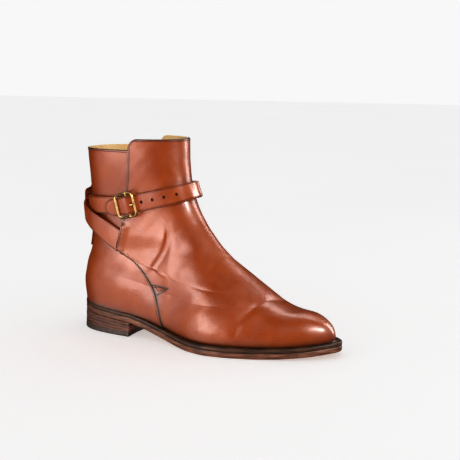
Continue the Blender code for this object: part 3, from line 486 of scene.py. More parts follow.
def fore_y(side, x, z):
    share = x / SOLE_LENGTH
    ridge_y = read(VAMP, "sideways", share) * BALL_WIDTH
    fullness = read(VAMP, "fullness", share)
    tall = np.maximum(ridge_at(x) - seat(x), 1e-5)
    return ridge_y + (feather(side, x) - ridge_y) * arc((z - seat(x)) / tall, fullness)


def side_y(side, x, z):
    """The upper's outside, without its bulge over the welt, as y over the side view."""
    lean = x - HANDOVER_ALONG - (z - HEEL_SEAT) * HANDOVER_LEAN
    share = ease(0.5 + lean / (2 * HANDOVER_REACH))
    return rear_y(side, x, z) * (1 - share) + fore_y(side, x, z) * share


def seam_at(z, side=OUTER):
    """Where the seam lies along the boot. On the inner side it is a little further back."""
    shift = SEAM_INNER_SHIFT if side == INNER else 0.0
    return read(SEAM, "along", (z - HEEL_SEAT) / UPPER_HEIGHT) * SOLE_LENGTH - shift


def seam_corner(z):
    """How far the front panel's rounded corner pulls its edge forward near the collar."""
    rise = np.clip(z - (COLLAR - PANEL_CORNER), 0, PANEL_CORNER)
    return PANEL_CORNER - np.sqrt(np.maximum(PANEL_CORNER ** 2 - rise ** 2, 0))


def row_line(v):
    """One row of the wall in the side view, from the front profile to the back one. Above v = 1 rows are
    level and only the front panel has them."""
    theta = np.linspace(0, math.pi, FINE)
    s = (1 - np.cos(theta)) / 2
    if v >= 1:
        z = QUARTER_TOP + (v - 1) * QUARTER_DROP
        x = front_at(z) * (1 - s) + back_at(z) * s
        return x, np.full(FINE, z)
    front = FRONT[FRONT[:, 1] <= QUARTER_TOP]
    path = along_path(front)
    at = path[-1] * (ROWS_EVEN * v + (1 - ROWS_EVEN) * v ** ROWS_POWER)
    top_x = np.interp(at, path, front[:, 0])
    top_z = np.interp(at, path, front[:, 1])
    back_z = HEEL_SEAT + (QUARTER_TOP - HEEL_SEAT) * v
    x = top_x * (1 - s) + back_at(back_z) * s
    z = top_z * (1 - s) + back_z * s
    sole_x = FEATHER_FRONT * (1 - s) + FEATHER_BACK * s
    straight = float(seat(FEATHER_FRONT)) * (1 - s) + HEEL_SEAT * s
    sag = ROW_SAG * math.sin(math.pi * v) ** 2 * 4 * s * (1 - s)
    return x, z + (seat(sole_x) - straight) * (1 - v) ** SEAT_POWER - sag


def grid_normals(grid):
    across = np.roll(grid, -1, axis=1) - np.roll(grid, 1, axis=1)
    return unit(np.cross(np.gradient(grid, axis=0), across))


def bulge_at(point):
    """Outward swell of the upper just above the feather line."""
    x, y, z = point[..., 0], point[..., 1], point[..., 2]
    share = x / SOLE_LENGTH
    side = ease(0.5 + y / (BULGE_BLEND * BALL_WIDTH))
    swell = read(VAMP, "outer_bulge", share) * (1 - side) + read(VAMP, "inner_bulge", share) * side
    swell = swell * ease((share - BULGE_BACK) / (BULGE_FULL - BULGE_BACK))
    over = np.clip((z - seat(x)) / BULGE_HEIGHT, 0, 1)
    return swell * BALL_WIDTH * np.sin(math.pi * over ** BULGE_LEAN)


def shaft_point(turn, height):
    """A point on the upper's outside by its turn round the shaft and height over the heel seat."""
    turn = np.asarray(turn, float) % 1.0
    z = HEEL_SEAT + np.asarray(height, float)
    s = (1 - np.cos(2 * math.pi * turn)) / 2
    x = front_at(z) * (1 - s) + back_at(z) * s
    y = np.where(turn < 0.5, side_y(OUTER, x, z), side_y(INNER, x, z))
    return np.stack([x, y, z], axis=-1)


def shaft_frame(turn, height):
    """Points, outward normals, and how the points move with turn and with height."""
    ahead, behind = shaft_point(turn + PROBE_TURN, height), shaft_point(turn - PROBE_TURN, height)
    above, below = shaft_point(turn, height + PROBE_UP), shaft_point(turn, height - PROBE_UP)
    by_turn = (ahead - behind) / (2 * PROBE_TURN)
    by_up = (above - below) / (2 * PROBE_UP)
    return (ahead + behind) / 2, unit(np.cross(by_up, by_turn)), by_turn, by_up


def route_samples(rows, step):
    """A strap's middle line at even steps: distance, turn, height and lift, all but turn in metres."""
    spots = np.arange(len(rows))
    fine = np.linspace(0, len(rows) - 1, 40 * len(rows))
    turn = hermite(spots, [row.turn for row in rows], fine)
    height = hermite(spots, [row.height for row in rows], fine) * UPPER_HEIGHT
    lift = hermite(spots, [row.lift for row in rows], fine) * LAYER
    s = along_path(shaft_frame(turn, height)[0])
    count = max(int(round(s[-1] / step)), 2)
    at = np.linspace(0, s[-1], count + 1)
    return at, np.interp(at, s, turn), np.interp(at, s, height), np.interp(at, s, lift)


def pull_to_seam(turn, height):
    """Turns moved back where they would pass the front panel's edge, which a strap comes out from under."""
    z = HEEL_SEAT + height
    limits = []
    for side in (OUTER, INNER):
        share = (front_at(z) - seam_at(z, side) + SEAM_CLEARANCE) / (front_at(z) - back_at(z))
        limits.append(np.arccos(1 - 2 * np.clip(share, 0, 1)) / (2 * math.pi))
    return np.clip(turn, limits[0], 1 - limits[1])


def root_width(s):
    return STRAP_WIDTH + (STRAP_ROOT_WIDTH - STRAP_WIDTH) * (1 - ease(s / STRAP_ROOT_LENGTH))


def heel_ring(z, shrink=0.0):
    """Outline of the heel at a height: the sole's, flared towards the floor, with a hollow breast."""
    down = 1 - z / HEEL_HEIGHT
    edges = edges_of(outline_ring(inset=shrink - HEEL_FLARE * down))
    front = HEEL_LENGTH - shrink
    corners, sides = [], []
    for side in (OUTER, INNER):
        edge = edges[side]
        y = float(np.interp(front, edge[:, 0], edge[:, 1]))
        rear = edge[edge[:, 0] < front - BREAST_MARGIN]
        corners.append(y)
        sides.append(resample(np.vstack([rear, [[front, y]]]), HEEL_SIDE_POINTS))
    across = np.linspace(0, 1, BREAST_POINTS)[1:-1]
    breast = np.column_stack([
        front - BREAST_HOLLOW * np.sin(math.pi * across),
        corners[0] + (corners[1] - corners[0]) * across,
    ])
    return np.vstack([sides[0], breast, sides[1][::-1][:-1]])


def frame_matrix(point, normal, ahead):
    z_axis = Vector(normal)
    x_axis = Vector(ahead).normalized()
    x_axis = (x_axis - z_axis * x_axis.dot(z_axis)).normalized()
    y_axis = z_axis.cross(x_axis)
    return Matrix((
        (x_axis.x, y_axis.x, z_axis.x, point[0]),
        (x_axis.y, y_axis.y, z_axis.y, point[1]),
        (x_axis.z, y_axis.z, z_axis.z, point[2]),
        (0, 0, 0, 1),
    ))


def route_place(turn):
    """Matrix on the leather under the long strap's middle, x towards the strap's tip and z outward."""
    turns = [row.turn for row in LONG_STRAP]
    heights = [row.height * UPPER_HEIGHT for row in LONG_STRAP]
    point, normal = shaft_frame(turn, float(hermite(turns, heights, turn)))[:2]
    next_turn = turn + HEADING_TURN
    next_point = shaft_frame(next_turn, float(hermite(turns, heights, next_turn)))[0]
    return frame_matrix(point, normal, next_point - point)


def strap_past_bar(distance):
    """The long strap's turn and its lift at a distance past the buckle's bar, towards the tip."""
    at, turns, _, lifts = route_samples(LONG_STRAP, ROUTE_STEP)
    bar = np.interp(BUCKLE_TURN, turns, at)
    return float(np.interp(bar + distance, at, turns)), float(np.interp(bar + distance, at, lifts))


def wire_over_strap(place, x):
    """Height for the middle of a wire that lies on the long strap, in the buckle's own axes."""
    tops = []
    for edge in (-BUCKLE_WIRE, 0.0, BUCKLE_WIRE):
        turn, lift = strap_past_bar(x + edge)
        leather = (place.inverted() @ route_place(turn).translation).z
        tops.append(leather + LAID + lift + STRAP_THICKNESS)
    return max(tops) + GAP + BUCKLE_WIRE


OUTLINE_LOW = outline_ring()[:, 1].min()
OUTLINE_HIGH = outline_ring()[:, 1].max()
SOLE_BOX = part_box("outsole")
TO_ROW = np.array([SOLE_BOX[0][0], (SOLE_BOX[0][1] + SOLE_BOX[1][1] - OUTLINE_LOW - OUTLINE_HIGH) / 2, 0.0])

# Unevenness of the leather: rows of depth, size and seed. Darkening: rows of strength and reach
WAVES = ((0.00016, 0.030, 1.3), (0.00009, 0.012, 4.1))
# darker towards the welt and beside the seam
DARKER_OVER_WELT = ((0.75, 0.0022), (0.35, 0.008))
DARKER_BESIDE_SEAM = ((0.25, 0.004),)
# painted shade: the vamp darkened beside the quarter's overlapping edge, and the quarter beside the front
# panel's edge
SHADE_UNDER_QUARTER = ((1.0, 0.0018),)
SHADE_UNDER_PANEL = ((0.8, 0.0012),)
TAB_BURN = 0.75
TAB_LINE = 0.0009

# Stitches, what they keep from the seam's crossing, and how far they run from the seam, plus towards the toe
Stitch = namedtuple("Stitch", "pitch length radius lift")
SEAM_STITCH = Stitch(0.0023, 0.0018, 0.00042, 0.00005)
TAB_STITCH = Stitch(0.0021, 0.0018, 0.00052, 0.00015)
WELT_STITCH = Stitch(0.0026, 0.0022, 0.00045, 0.0001)
STITCH_SIDES = 6
STITCH_RINGS = 5
STITCH_ENDS = 0.92
STITCH_SINK = 0.9
SEAM_STITCH_ABOVE = 0.002
SEAM_STITCH_BELOW = 0.001
PANEL_STITCHES = 0.0015
VAMP_STITCHES = 0.0009
QUARTER_STITCHES = -0.0016
SEAM_SEARCH = 40
NEAREST = 6
TAB_INSETS = (0.00156, 0.00546)
TAB_POINTS = 14

# Collar's rim: points over its rounding, how far it reaches out, its height, and the last painted face
RIM_POINTS = 9
RIM_OVERHANG = 1.04
RIM_HEIGHT = 0.0007
RIM_PAINTED = 3

# Fine buckle
CORNER_POINTS = 14
FRAME_POINTS = 180
FRAME_RISE = 1.3
FRAME_SMOOTHING = 6
WIRE_FLATTEN = 0.9
RING_POINTS = 40
ROD_POINTS = 40
PRONG_TIP = 1.2
PRONG_BLUNT = 0.06
EYE_GAP = 0.0021

# Fine welt and outsole: the groove shows where the welt is wide. Outsole layers are rows of inset and lift
WELT_POINTS = 260
GROOVE_MARGIN = 0.0022
GROOVE_FADE = 0.0015
GROOVE_DEPTH = 0.00045
STITCHED_SHARE = 0.6
OUTSOLE_POINTS = 220
RUNGS = 150
OUTSOLE_LAYERS = [
    (0.0012, 0.0),
    (0.0004, 0.0003),
    (0.0, 0.0011),
    (-0.0002, 0.0030),
    (0.0, 0.0048),
    (0.0004, SOLE_THICKNESS - GAP),
]

# Colours, camera and light
TAN_DEEP = (0.40, 0.068, 0.0012)
TAN_PALE = (0.50, 0.096, 0.0024)
WHITE = (1.0, 1.0, 1.0)
CAMERA_AZIMUTH = 29.900
CAMERA_ELEVATION = 9.499
CAMERA_DISTANCE = 1.0185
CAMERA_LENS = 77.88
CAMERA_TARGET = (0.030257, 0.002415, 0.119131)
# The bright patch for reflections: two directions, with the shares where each starts and is full
BRIGHT_WAYS = [
    ((-0.49, -0.85, -0.2), 0.62, 0.98),
    ((-0.1, 0.6, -0.75), -0.9, -0.45),
]
WORLD_BRIGHT = 2.3
WORLD_DARK = 0.0
AMBIENT = 0.47
BACKDROP = 0.955
FLOOR_HALF = 6.0
FLOOR_GLOW = 0.52
PRINT_GAMMA = 0.72
# Area lights: azimuth and elevation in degrees, distance, size and power. The sheen boxes show only as sheen
LightRow = namedtuple("LightRow", "name azimuth elevation distance size power")
KEY_LIGHT = LightRow("key", 42, 42, 1.5, (0.8, 0.8), 10)
KEY_COLOUR = (1.0, 0.99, 0.98)
KEY_TARGET = (0, 0, 0.05)
SHEEN_BOXES = [
    LightRow("sheen_front", -24, 8, 1.5, (1.0, 0.8), 27),
    LightRow("sheen_rim", 146, 17, 1.2, (0.34, 0.9), 14),
    LightRow("sheen_toe", 78, 26, 1.2, (0.27, 0.27), 24),
    LightRow("sheen_top", 178, 56, 1.3, (0.8, 0.5), 9),
]
SHEEN_COLOUR = (1.0, 0.98, 0.97)
SHEEN_TARGET = (0, 0, 0.1)

# Fine grid of the upper: rows, stations and how evenly they stand, then its smoothing and fades
STATIONS_EVEN = 0.55
SMOOTHING_SHARE = 0.8
WELT_FADE = 0.010
COLLAR_FADE = 0.012
LIP_LOW = 0.086
LIP_HIGH = 0.124
LIP_FADE = 0.008
CREASE_POINTS = 40
CREASE_FLATTEN = 0.8
TIP_END = 0.985
TIP_STATIONS = 18
STRAP_POINTS = 27
ROUND_SHARE = 0.42
WRINKLE_FADE = 0.6
WRINKLE_STEPS = (0.0016, 0.0034, 0.0054)
HEEL_POINTS = 240
HEEL_LIFTS = 3
LAYER_EDGES = ((0.0, 0.00035), (0.08, 0.00008), (0.5, 0.0), (0.92, 0.00008), (1.0, 0.00035))
ROWS = 200
PANEL_TOP_ROWS = 14
FRONT_STATIONS = 136
REAR_STATIONS = 72
COLUMNS = FRONT_STATIONS + REAR_STATIONS + 1
EDGE_RAMP = 0.0004
SMOOTHING = 14
LIP_HEIGHT = 0.0026
LIP_REACH = 0.012
MM = 0.001
FAR = 50.0

# Fine straps: space between stations, how much the edges round off, how high the middle stands, the wrinkles
# beside the buckle, how low a root lies on the quarter and how far it takes to come up
STRAP_STATION = 0.0009
STRAP_ROUND = 0.0012
STRAP_CROWN = 0.0003
WRINKLE_DEPTH = 0.0004
WRINKLE_WIDTH = 0.0006
ROOT_LAID = 0.0004
ROOT_FADE = 0.045

# Creases: depth in mm (minus stands out), widths in mm on the heel's side and the toe's side,
# how far the ends fade in mm, then points in mm
Crease = namedtuple("Crease", "depth behind ahead fade points")
INSTEP_FOLD = [(95.5, -31.6, 66), (99.5, -31.3, 71), (106, -30.3, 81), (115.7, -28.1, 97),
               (119.2, -25.6, 111), (118.5, -23.9, 124)]
BALL_FOLD = [(212.0, -45.0, 17), (212.5, -43.6, 21), (215.1, -38.1, 34.5), (223.1, -26.2, 44.8),
             (230.8, -3.1, 50.4), (237.3, 25.4, 43.6)]
SIDE_FOLD = [(179.6, -40.8, 50), (177.6, -42.8, 47), (174, -46.7, 37.3), (175.3, -50.8, 26)]
CREASES = [
    Crease(1.5, 2.2, 7.0, 18, INSTEP_FOLD),
    Crease(-0.7, 9.0, 2.6, 18, INSTEP_FOLD),
    Crease(-0.85, 1.6, 1.4, 10, BALL_FOLD),
    Crease(1.3, 6.5, 1.6, 12, BALL_FOLD),
    Crease(0.35, 1.8, 3.5, 9, SIDE_FOLD),
    Crease(-0.25, 1.2, 1.5, 9, SIDE_FOLD),
    Crease(0.9, 8.0, 7.0, 20, [(36, -31, 66), (56, -32, 71), (76, -31.5, 76)]),
    Crease(-0.5, 9.0, 9.0, 20, [(48, -32, 52), (66, -32, 54), (86, -32, 52)]),
    Crease(0.7, 9.0, 12.0, 20, [(128, -20, 128), (136, -26, 104), (142, -34, 80)]),
    Crease(0.30, 2.5, 3.5, 12, [(166, -28, 74), (174, -10, 86), (180, 6, 89), (180, 22, 78)]),
    Crease(0.9, 7.0, 8.0, 18, [(104, 30, 72), (114, 27, 92), (120, 22, 114)]),
    Crease(-0.4, 2.0, 2.0, 12, [(206, 38, 22), (216, 38, 36), (228, 32, 44)]),
]

# Leather layers of the heel over the top piece, and how far each stands in
HEEL_LAYERS = 4
LAYER_SHIFT = [0.0, 0.0002, 0.0, 0.00015]

# The stitched tab at the end of the seam's upper part, in mm
TAB = [(102.3, 59.8), (126.2, 58.5), (110.5, 48.3)]


def link(name, mesh, material, replaces=None):
    """Put a mesh into the scene as a piece that rides on the boot."""
    piece = bpy.data.objects.new(name, mesh)
    bpy.context.scene.collection.objects.link(piece)
    for entry in material if isinstance(material, (list, tuple)) else [material]:
        mesh.materials.append(entry)
    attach(piece, "root")
    if replaces:
        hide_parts(*([replaces] if isinstance(replaces, str) else replaces))
    return piece


def build_mesh(name, points, faces, smooth=180, attributes=None, face_material=None):
    """A mesh in the row frame from points in the shape functions' frame."""
    mesh = bpy.data.meshes.new(name)
    points = np.asarray(points, float).reshape(-1, 3) + TO_ROW
    sizes = np.array([len(face) for face in faces])
    loops = np.concatenate([np.asarray(face) for face in faces]).astype(np.int32)
    mesh.vertices.add(len(points))
    mesh.vertices.foreach_set("co", points.ravel())
    mesh.loops.add(len(loops))
    mesh.loops.foreach_set("vertex_index", loops)
    mesh.polygons.add(len(faces))
    starts = np.concatenate([[0], np.cumsum(sizes)[:-1]])
    mesh.polygons.foreach_set("loop_start", starts.astype(np.int32))
    if face_material is not None:
        mesh.polygons.foreach_set("material_index", np.asarray(face_material, np.int32))
    mesh.update(calc_edges=True)
    mesh.validate()
    mesh.shade_smooth()
    if smooth < 180:
        mesh.set_sharp_from_angle(angle=math.radians(smooth))
    for key, values in (attributes or {}).items():
        layer = mesh.attributes.new(key, "FLOAT", "POINT")
        layer.data.foreach_set("value", np.asarray(values, np.float32).ravel())
    return mesh


def grid_faces(rows, columns, wrap=True, closed=False, keep=None, base=0):
    """Quads of a grid of points. Columns wrap round unless wrap is False, rows only when closed."""
    row_starts = np.arange(rows if closed else rows - 1)
    column_starts = np.arange(columns if wrap else columns - 1)
    i, j = np.meshgrid(row_starts, column_starts, indexing="ij")
    if keep is not None:
        i, j = i[keep], j[keep]
    i, j = i.ravel(), j.ravel()
    k = (j + 1) % columns
    low, high = i * columns, (i + 1) % rows * columns
    return np.column_stack([low + j, low + k, high + k, high + j]) + base


def tube_mesh(name, sections, closed=False, smooth=60, attributes=None):
    """A mesh through equal rings: the last joins the first when closed, or else each end gets a face."""
    rows, count = sections.shape[:2]
    faces = list(grid_faces(rows, count, closed=closed))
    if not closed:
        faces += [np.arange(count)[::-1], np.arange(count) + (rows - 1) * count]
    return build_mesh(name, sections, faces, smooth=smooth, attributes=attributes)


def path_distance(points, normals, path):
    """Distance of every point to a path, its side of the path and the way along, with the path's length."""
    path = smooth_path(np.array(path) * MM, CREASE_POINTS)
    s = along_path(path)
    flat = points.reshape(-1, 3)
    out = normals.reshape(-1, 3)
    best = np.full(len(flat), np.inf)
    where = np.zeros(len(flat))
    side = np.zeros(len(flat))
    for n in range(len(path) - 1):
        a, b = path[n], path[n + 1]
        ab = b - a
        t = np.clip((flat - a) @ ab / (ab @ ab), 0, 1)
        gap = flat - (a + t[:, None] * ab)
        gap -= out * np.sum(gap * out, axis=1, keepdims=True) * CREASE_FLATTEN
        d = np.linalg.norm(gap, axis=1)
        nearer = d < best
        best = np.where(nearer, d, best)
        where = np.where(nearer, s[n] + t * (s[n + 1] - s[n]), where)
        side = np.where(nearer, np.sum(np.cross(out, ab) * gap, axis=1), side)
    best, side, where = [values.reshape(points.shape[:2]) for values in (best, side, where)]
    return best, side, where, s[-1]


def smooth_path(path, count):
    s = along_path(path)
    at = np.linspace(0, s[-1], count)
    return np.column_stack([hermite(s, path[:, k], at) for k in range(3)])


def crease_height(points, normals, crease):
    """How far a crease moves the leather inward at every point."""
    distance, side, where, total = path_distance(points, normals, crease.points)
    heading = np.array(crease.points[-1]) - np.array(crease.points[0])
    rising = 1.0 if heading[2] > 0 else -1.0
    outer = -1.0 if np.mean([p[1] for p in crease.points]) < 0 else 1.0
    ahead = side * rising * outer > 0
    width = np.where(ahead, crease.ahead, crease.behind) * MM
    fade = ease(where / (crease.fade * MM)) * ease((total - where) / (crease.fade * MM))
    return crease.depth * MM * np.exp(-(distance / width) ** 2) * fade


def ripple(points, scale, seed):
    """Soft unevenness of worn leather, about -1 to 1."""
    p = points / scale
    total = 0.0
    for n in range(5):
        turn = seed + 1.7 * n
        wave = np.array([math.cos(turn), math.sin(turn * 1.3), math.sin(turn * 0.7 + 1)])
        total = total + np.sin(p @ wave * (1 + 0.31 * n) * 2.3 + seed * 3.1 + n * 2.4)
    return total / 3.2


def to_outline(x, z, corners):
    """Distance of places in the side view to a closed outline."""
    best = np.full(x.shape, 1.0)
    for a, b in zip(corners, np.roll(corners, -1, axis=0)):
        along = b - a
        t = np.clip(((x - a[0]) * along[0] + (z - a[1]) * along[1]) / (along @ along), 0, 1)
        best = np.minimum(best, np.hypot(x - a[0] - t * along[0], z - a[1] - t * along[1]))
    return best


def crowd(t):
    """Even steps from 0 to 1, drawn together towards 0."""
    return STATIONS_EVEN * t + (1 - STATIONS_EVEN) * t * t


def fine_row(side, v):
    """One side's half of a row of the fine upper, with its stations drawn together beside the seam."""
    x, z = row_line(v)
    points = np.column_stack([x, side_y(side, x, z), z])
    s = along_path(points)
    ahead = x - (seam_at(z, side) + seam_corner(z))
    cut = int(np.argmax(ahead < 0))
    part = ahead[cut - 1] / (ahead[cut - 1] - ahead[cut])
    seam_s = s[cut - 1] + part * (s[cut] - s[cut - 1])
    front = 1 - crowd(1 - np.linspace(0, 1, FRONT_STATIONS + 1))
    rear = crowd(np.linspace(0, 1, REAR_STATIONS + 1))
    stations = np.concatenate([seam_s * front, seam_s + EDGE_RAMP + (s[-1] - seam_s - EDGE_RAMP) * rear])
    return sample(stations, s, points)


def smooth_along_normals(grid, passes, last):
    """Take the kinks out of a grid that wraps round, moving points only along their normals."""
    for _ in range(passes):
        normal = grid_normals(grid)
        mean = (np.roll(grid, 1, axis=1) + np.roll(grid, -1, axis=1)) / 2
        vertical = grid.copy()
        vertical[1:-1] = (grid[:-2] + grid[2:]) / 2
        move = (mean + vertical) / 2 - grid
        along = np.sum(move * normal, axis=2, keepdims=True)
        along[0] = 0
        along[last:] = 0
        grid = grid + normal * along * SMOOTHING_SHARE
    return grid


def upper_grid():
    """The upper's outside without its steps and creases, in rows that close round the boot."""
    heights = list(np.linspace(0, 1, ROWS + 1))
    heights += [1 + math.sin(t) for t in np.linspace(0, math.pi / 2, PANEL_TOP_ROWS + 1)[1:]]
    rows = []
    for v in heights:
        outer, inner = fine_row(OUTER, v), fine_row(INNER, v)
        front, back = (outer[0] + inner[0]) / 2, (outer[-1] + inner[-1]) / 2
        rows.append(np.vstack([front, outer[1:-1], back, inner[-2:0:-1]]))
    grid = smooth_along_normals(np.array(rows), SMOOTHING, ROWS)
    flat = grid_normals(grid) * np.array([1, 1, 0])
    return grid + flat * bulge_at(grid)[:, :, None]


def fading(distance, rows):
    """Darkening that fades with the distance, from rows of strength and reach."""
    return sum(strength * np.exp(-distance / reach) for strength, reach in rows)


def upper_wall():
    """Fine outside and inside of the upper, with what the material needs at each point."""
    grid = upper_grid()
    normal = grid_normals(grid)
    station = np.array([min(j, 2 * COLUMNS - j) for j in range(2 * COLUMNS)])
    is_panel = station <= FRONT_STATIONS
    on_outer = np.arange(2 * COLUMNS) <= COLUMNS
    x, z = grid[:, :, 0], grid[:, :, 2]
    over_welt = z - seat(x)
    seams = [grid[:, FRONT_STATIONS, None], grid[:, 2 * COLUMNS - FRONT_STATIONS, None]]
    to_outer, to_inner = [np.linalg.norm(grid - seam, axis=2) for seam in seams]
    from_seam = np.where(on_outer, to_outer, to_inner)

    panel_rise = PANEL_STEP * ease((z - CROSSING) / STEP_FADE)
    quarter_rise = QUARTER_STEP * ease((CROSSING - z) / STEP_FADE)
    lip = LIP_HEIGHT * ease((z - LIP_LOW) / LIP_FADE) * ease((LIP_HIGH - z) / LIP_FADE)
    lip = lip * (1 - ease(from_seam / LIP_REACH))
    rise = np.where(is_panel, panel_rise + lip, quarter_rise)
    sink = sum(crease_height(grid, normal, crease) for crease in CREASES)
    waves = sum(depth * ripple(grid, size, seed) for depth, size, seed in WAVES)
    above = ease(over_welt / WELT_FADE)
    near_top = ease((COLLAR - z) / COLLAR_FADE)
    outside = grid + normal * (rise - sink * above + waves * above * near_top)[:, :, None]
    inside = grid - normal * WALL
    for wall in (outside, inside):
        wall[0, :, 2] = seat(grid[0, :, 0]) + GAP
        wall[-1, :, 2] = COLLAR
        wall[ROWS, ~is_panel, 2] = QUARTER_TOP
    keep = np.ones((len(grid) - 1, 2 * COLUMNS), bool)
    keep[ROWS:] = is_panel & np.roll(is_panel, -1)

    # darker near the welt and beside the seam, painted shade beside the overlapping edges, and dark lines
    # round the stitched tab
    darkening_and_shade = fading(over_welt, DARKER_OVER_WELT) + fading(from_seam, DARKER_BESIDE_SEAM)
    # painted shade: on the vamp under the quarter's edge, and on the quarter under the front panel's edge
    darkening_and_shade += np.where(is_panel & (z < CROSSING), fading(from_seam, SHADE_UNDER_QUARTER), 0.0)
    darkening_and_shade += np.where(~is_panel & (z >= CROSSING), fading(from_seam, SHADE_UNDER_PANEL), 0.0)
    tab = to_outline(x, z, np.array(TAB) * MM)
    darkening_and_shade += np.where(on_outer, TAB_BURN * np.exp(-(tab / TAB_LINE) ** 2), 0.0)
    away = np.where(is_panel & (z >= CROSSING), from_seam / MM, FAR)
    away = np.minimum(away, (np.where(is_panel, COLLAR, QUARTER_TOP) - z) / MM)
    return outside, inside, keep, np.clip(darkening_and_shade, 0, 1), np.clip(away, 0, FAR)


def make_collar(outside, inside, edge_paint, lining):
    """The rounded edge along the top of the front panel, down its corners and along the quarters."""
    last, count = len(outside) - 1, outside.shape[1]
    left, right = FRONT_STATIONS, count - FRONT_STATIONS
    ring = [(last, j) for j in range(left)]
    ring += [(i, left) for i in range(last, ROWS, -1)]
    ring += [(ROWS, j) for j in range(left, right + 1)]
    ring += [(i, right) for i in range(ROWS + 1, last + 1)]
    ring += [(last, j) for j in range(right + 1, count)]
    spots = tuple(np.array(ring).T)
    middle = (outside[spots] + inside[spots]) / 2
    half = (outside[spots] - inside[spots]) / 2
    ahead = np.roll(middle, -2, axis=0) - np.roll(middle, 2, axis=0)
    away = unit(np.cross(ahead, half))
    layers = []
    for t in np.linspace(0, math.pi, RIM_POINTS):
        layers.append(middle + half * math.cos(t) * RIM_OVERHANG + away * RIM_HEIGHT * math.sin(t))
    faces = grid_faces(len(ring), RIM_POINTS, wrap=False, closed=True)
    lined = faces[:, 0] % RIM_POINTS > RIM_PAINTED
    mesh = build_mesh("collar_edge", np.stack(layers, axis=1), faces, smooth=70,
                      face_material=lined.astype(int))
    link("collar_edge", mesh, [edge_paint, lining])


def make_upper(leather, edge_paint, lining):
    """The leather and the lining of the upper with its collar's edge. Returns the leather's grid."""
    outside, inside, keep, darkening_and_shade, away = upper_wall()
    rows, count = outside.shape[:2]
    faces = grid_faces(rows, count, keep=keep)
    column = faces[:, 0] % count
    ramp = (column == FRONT_STATIONS) | (column == count - FRONT_STATIONS - 1)
    used = np.unique(faces)
    place = np.full(rows * count, -1)
    place[used] = np.arange(len(used))
    # the darkening attribute carries painted shade beside the overlapping edges as well as darkening near the
    # welt and seam
    mesh = build_mesh("upper_leather", outside.reshape(-1, 3)[used], place[faces], smooth=50,
                      attributes={"darkening_and_shade": darkening_and_shade.reshape(-1)[used], "edge": away.reshape(-1)[used]},
                      face_material=ramp.astype(int))
    link("upper_leather", mesh, [leather, edge_paint], "upper")
    mesh = build_mesh("upper_lining", inside.reshape(-1, 3)[used], place[faces][:, ::-1], smooth=60)
    link("upper_lining", mesh, lining)
    make_collar(outside, inside, edge_paint, lining)
    return outside


def add_stitches(name, paths, stitch, thread):
    """Small sunk stitches along paths of (points, normals), as one joined piece."""
    turn = np.linspace(0, 2 * math.pi, STITCH_SIDES, endpoint=False)
    points, faces = [], []
    for path, out in paths:
        s = along_path(path)
        count = int(s[-1] / stitch.pitch)
        if count < 1:
            continue
        at = (np.arange(count) + 0.5) * s[-1] / count
        spot = sample(at, s, path)
        normal = unit(sample(at, s, out))
        ahead = unit(sample(at + stitch.length / 3, s, path) - sample(at - stitch.length / 3, s, path))
        across = np.cross(normal, ahead)
        for n in range(count):
            base = len(points) * STITCH_RINGS * STITCH_SIDES
            body = []
            for share in np.linspace(-1, 1, STITCH_RINGS):
                size = stitch.radius * math.sqrt(max(1 - STITCH_ENDS * share * share, 0))
                drop = stitch.lift - stitch.radius * STITCH_SINK * share * share
                centre = spot[n] + ahead[n] * stitch.length / 2 * share + normal[n] * drop
                ring = np.outer(np.cos(turn), across[n]) + np.outer(np.sin(turn), normal[n])
                body.append(centre + size * ring)
            points.append(np.array(body))
            faces.append(grid_faces(STITCH_RINGS, STITCH_SIDES, base=base))
    link(name, build_mesh(name, np.concatenate(points), np.concatenate(faces)), thread)


def seam_line(outside, side, offset, rows):
    """A line on the upper beside the seam: offset is in metres, plus towards the toe."""
    near = np.arange(SEAM_SEARCH)
    order = FRONT_STATIONS - near if offset >= 0 else FRONT_STATIONS + 1 + near
    if side == INNER:
        order = 2 * COLUMNS - order
    order = order % (2 * COLUMNS)
    normal = grid_normals(outside)
    points, out = [], []
    for i in rows:
        s = along_path(outside[i, order])
        points.append(sample(abs(offset), s, outside[i, order])[0])
        out.append(sample(abs(offset), s, normal[i, order])[0])
    return np.array(points), np.array(out)


def drop_to_upper(outside, xz):
    """Points of the outer side over places in the side view, with normals."""
    spots = outside[: ROWS + 1, : COLUMNS + 1].reshape(-1, 3)
    normal = grid_normals(outside)[: ROWS + 1, : COLUMNS + 1].reshape(-1, 3)
    points, out = [], []
    for x, z in xz:
        gap = (spots[:, 0] - x) ** 2 + (spots[:, 2] - z) ** 2
        near = np.argsort(gap)[:NEAREST]
        weight = 1 / (gap[near] + 1e-9)
        weight /= weight.sum()
        points.append((x, (weight @ spots[near])[1], z))
        out.append(unit(weight @ normal[near]))
    return np.array(points), np.array(out)


def make_seams(outside, thread):
    """All stitching of the upper but the tab's."""
    heights = outside[:, FRONT_STATIONS, 2]
    panel_rows = [i for i in range(ROWS + PANEL_TOP_ROWS) if heights[i] > CROSSING + SEAM_STITCH_ABOVE]
    vamp_rows = [i for i in range(2, ROWS) if heights[i] <= CROSSING - SEAM_STITCH_BELOW]
    paths = []
    for side in (OUTER, INNER):
        paths.append(seam_line(outside, side, PANEL_STITCHES, panel_rows))
        paths.append(seam_line(outside, side, VAMP_STITCHES, vamp_rows))
        paths.append(seam_line(outside, side, QUARTER_STITCHES, vamp_rows))
    normal = grid_normals(outside)
    panel = [j % (2 * COLUMNS) for j in range(-FRONT_STATIONS + 5, FRONT_STATIONS - 4)]
    quarters = list(range(FRONT_STATIONS + 3, 2 * COLUMNS - FRONT_STATIONS - 2))
    for row, span in ((ROWS + PANEL_TOP_ROWS - 4, panel), (ROWS - 1, quarters)):
        paths.append((outside[row, span], normal[row, span]))
    add_stitches("seam_stitches", paths, SEAM_STITCH, thread)


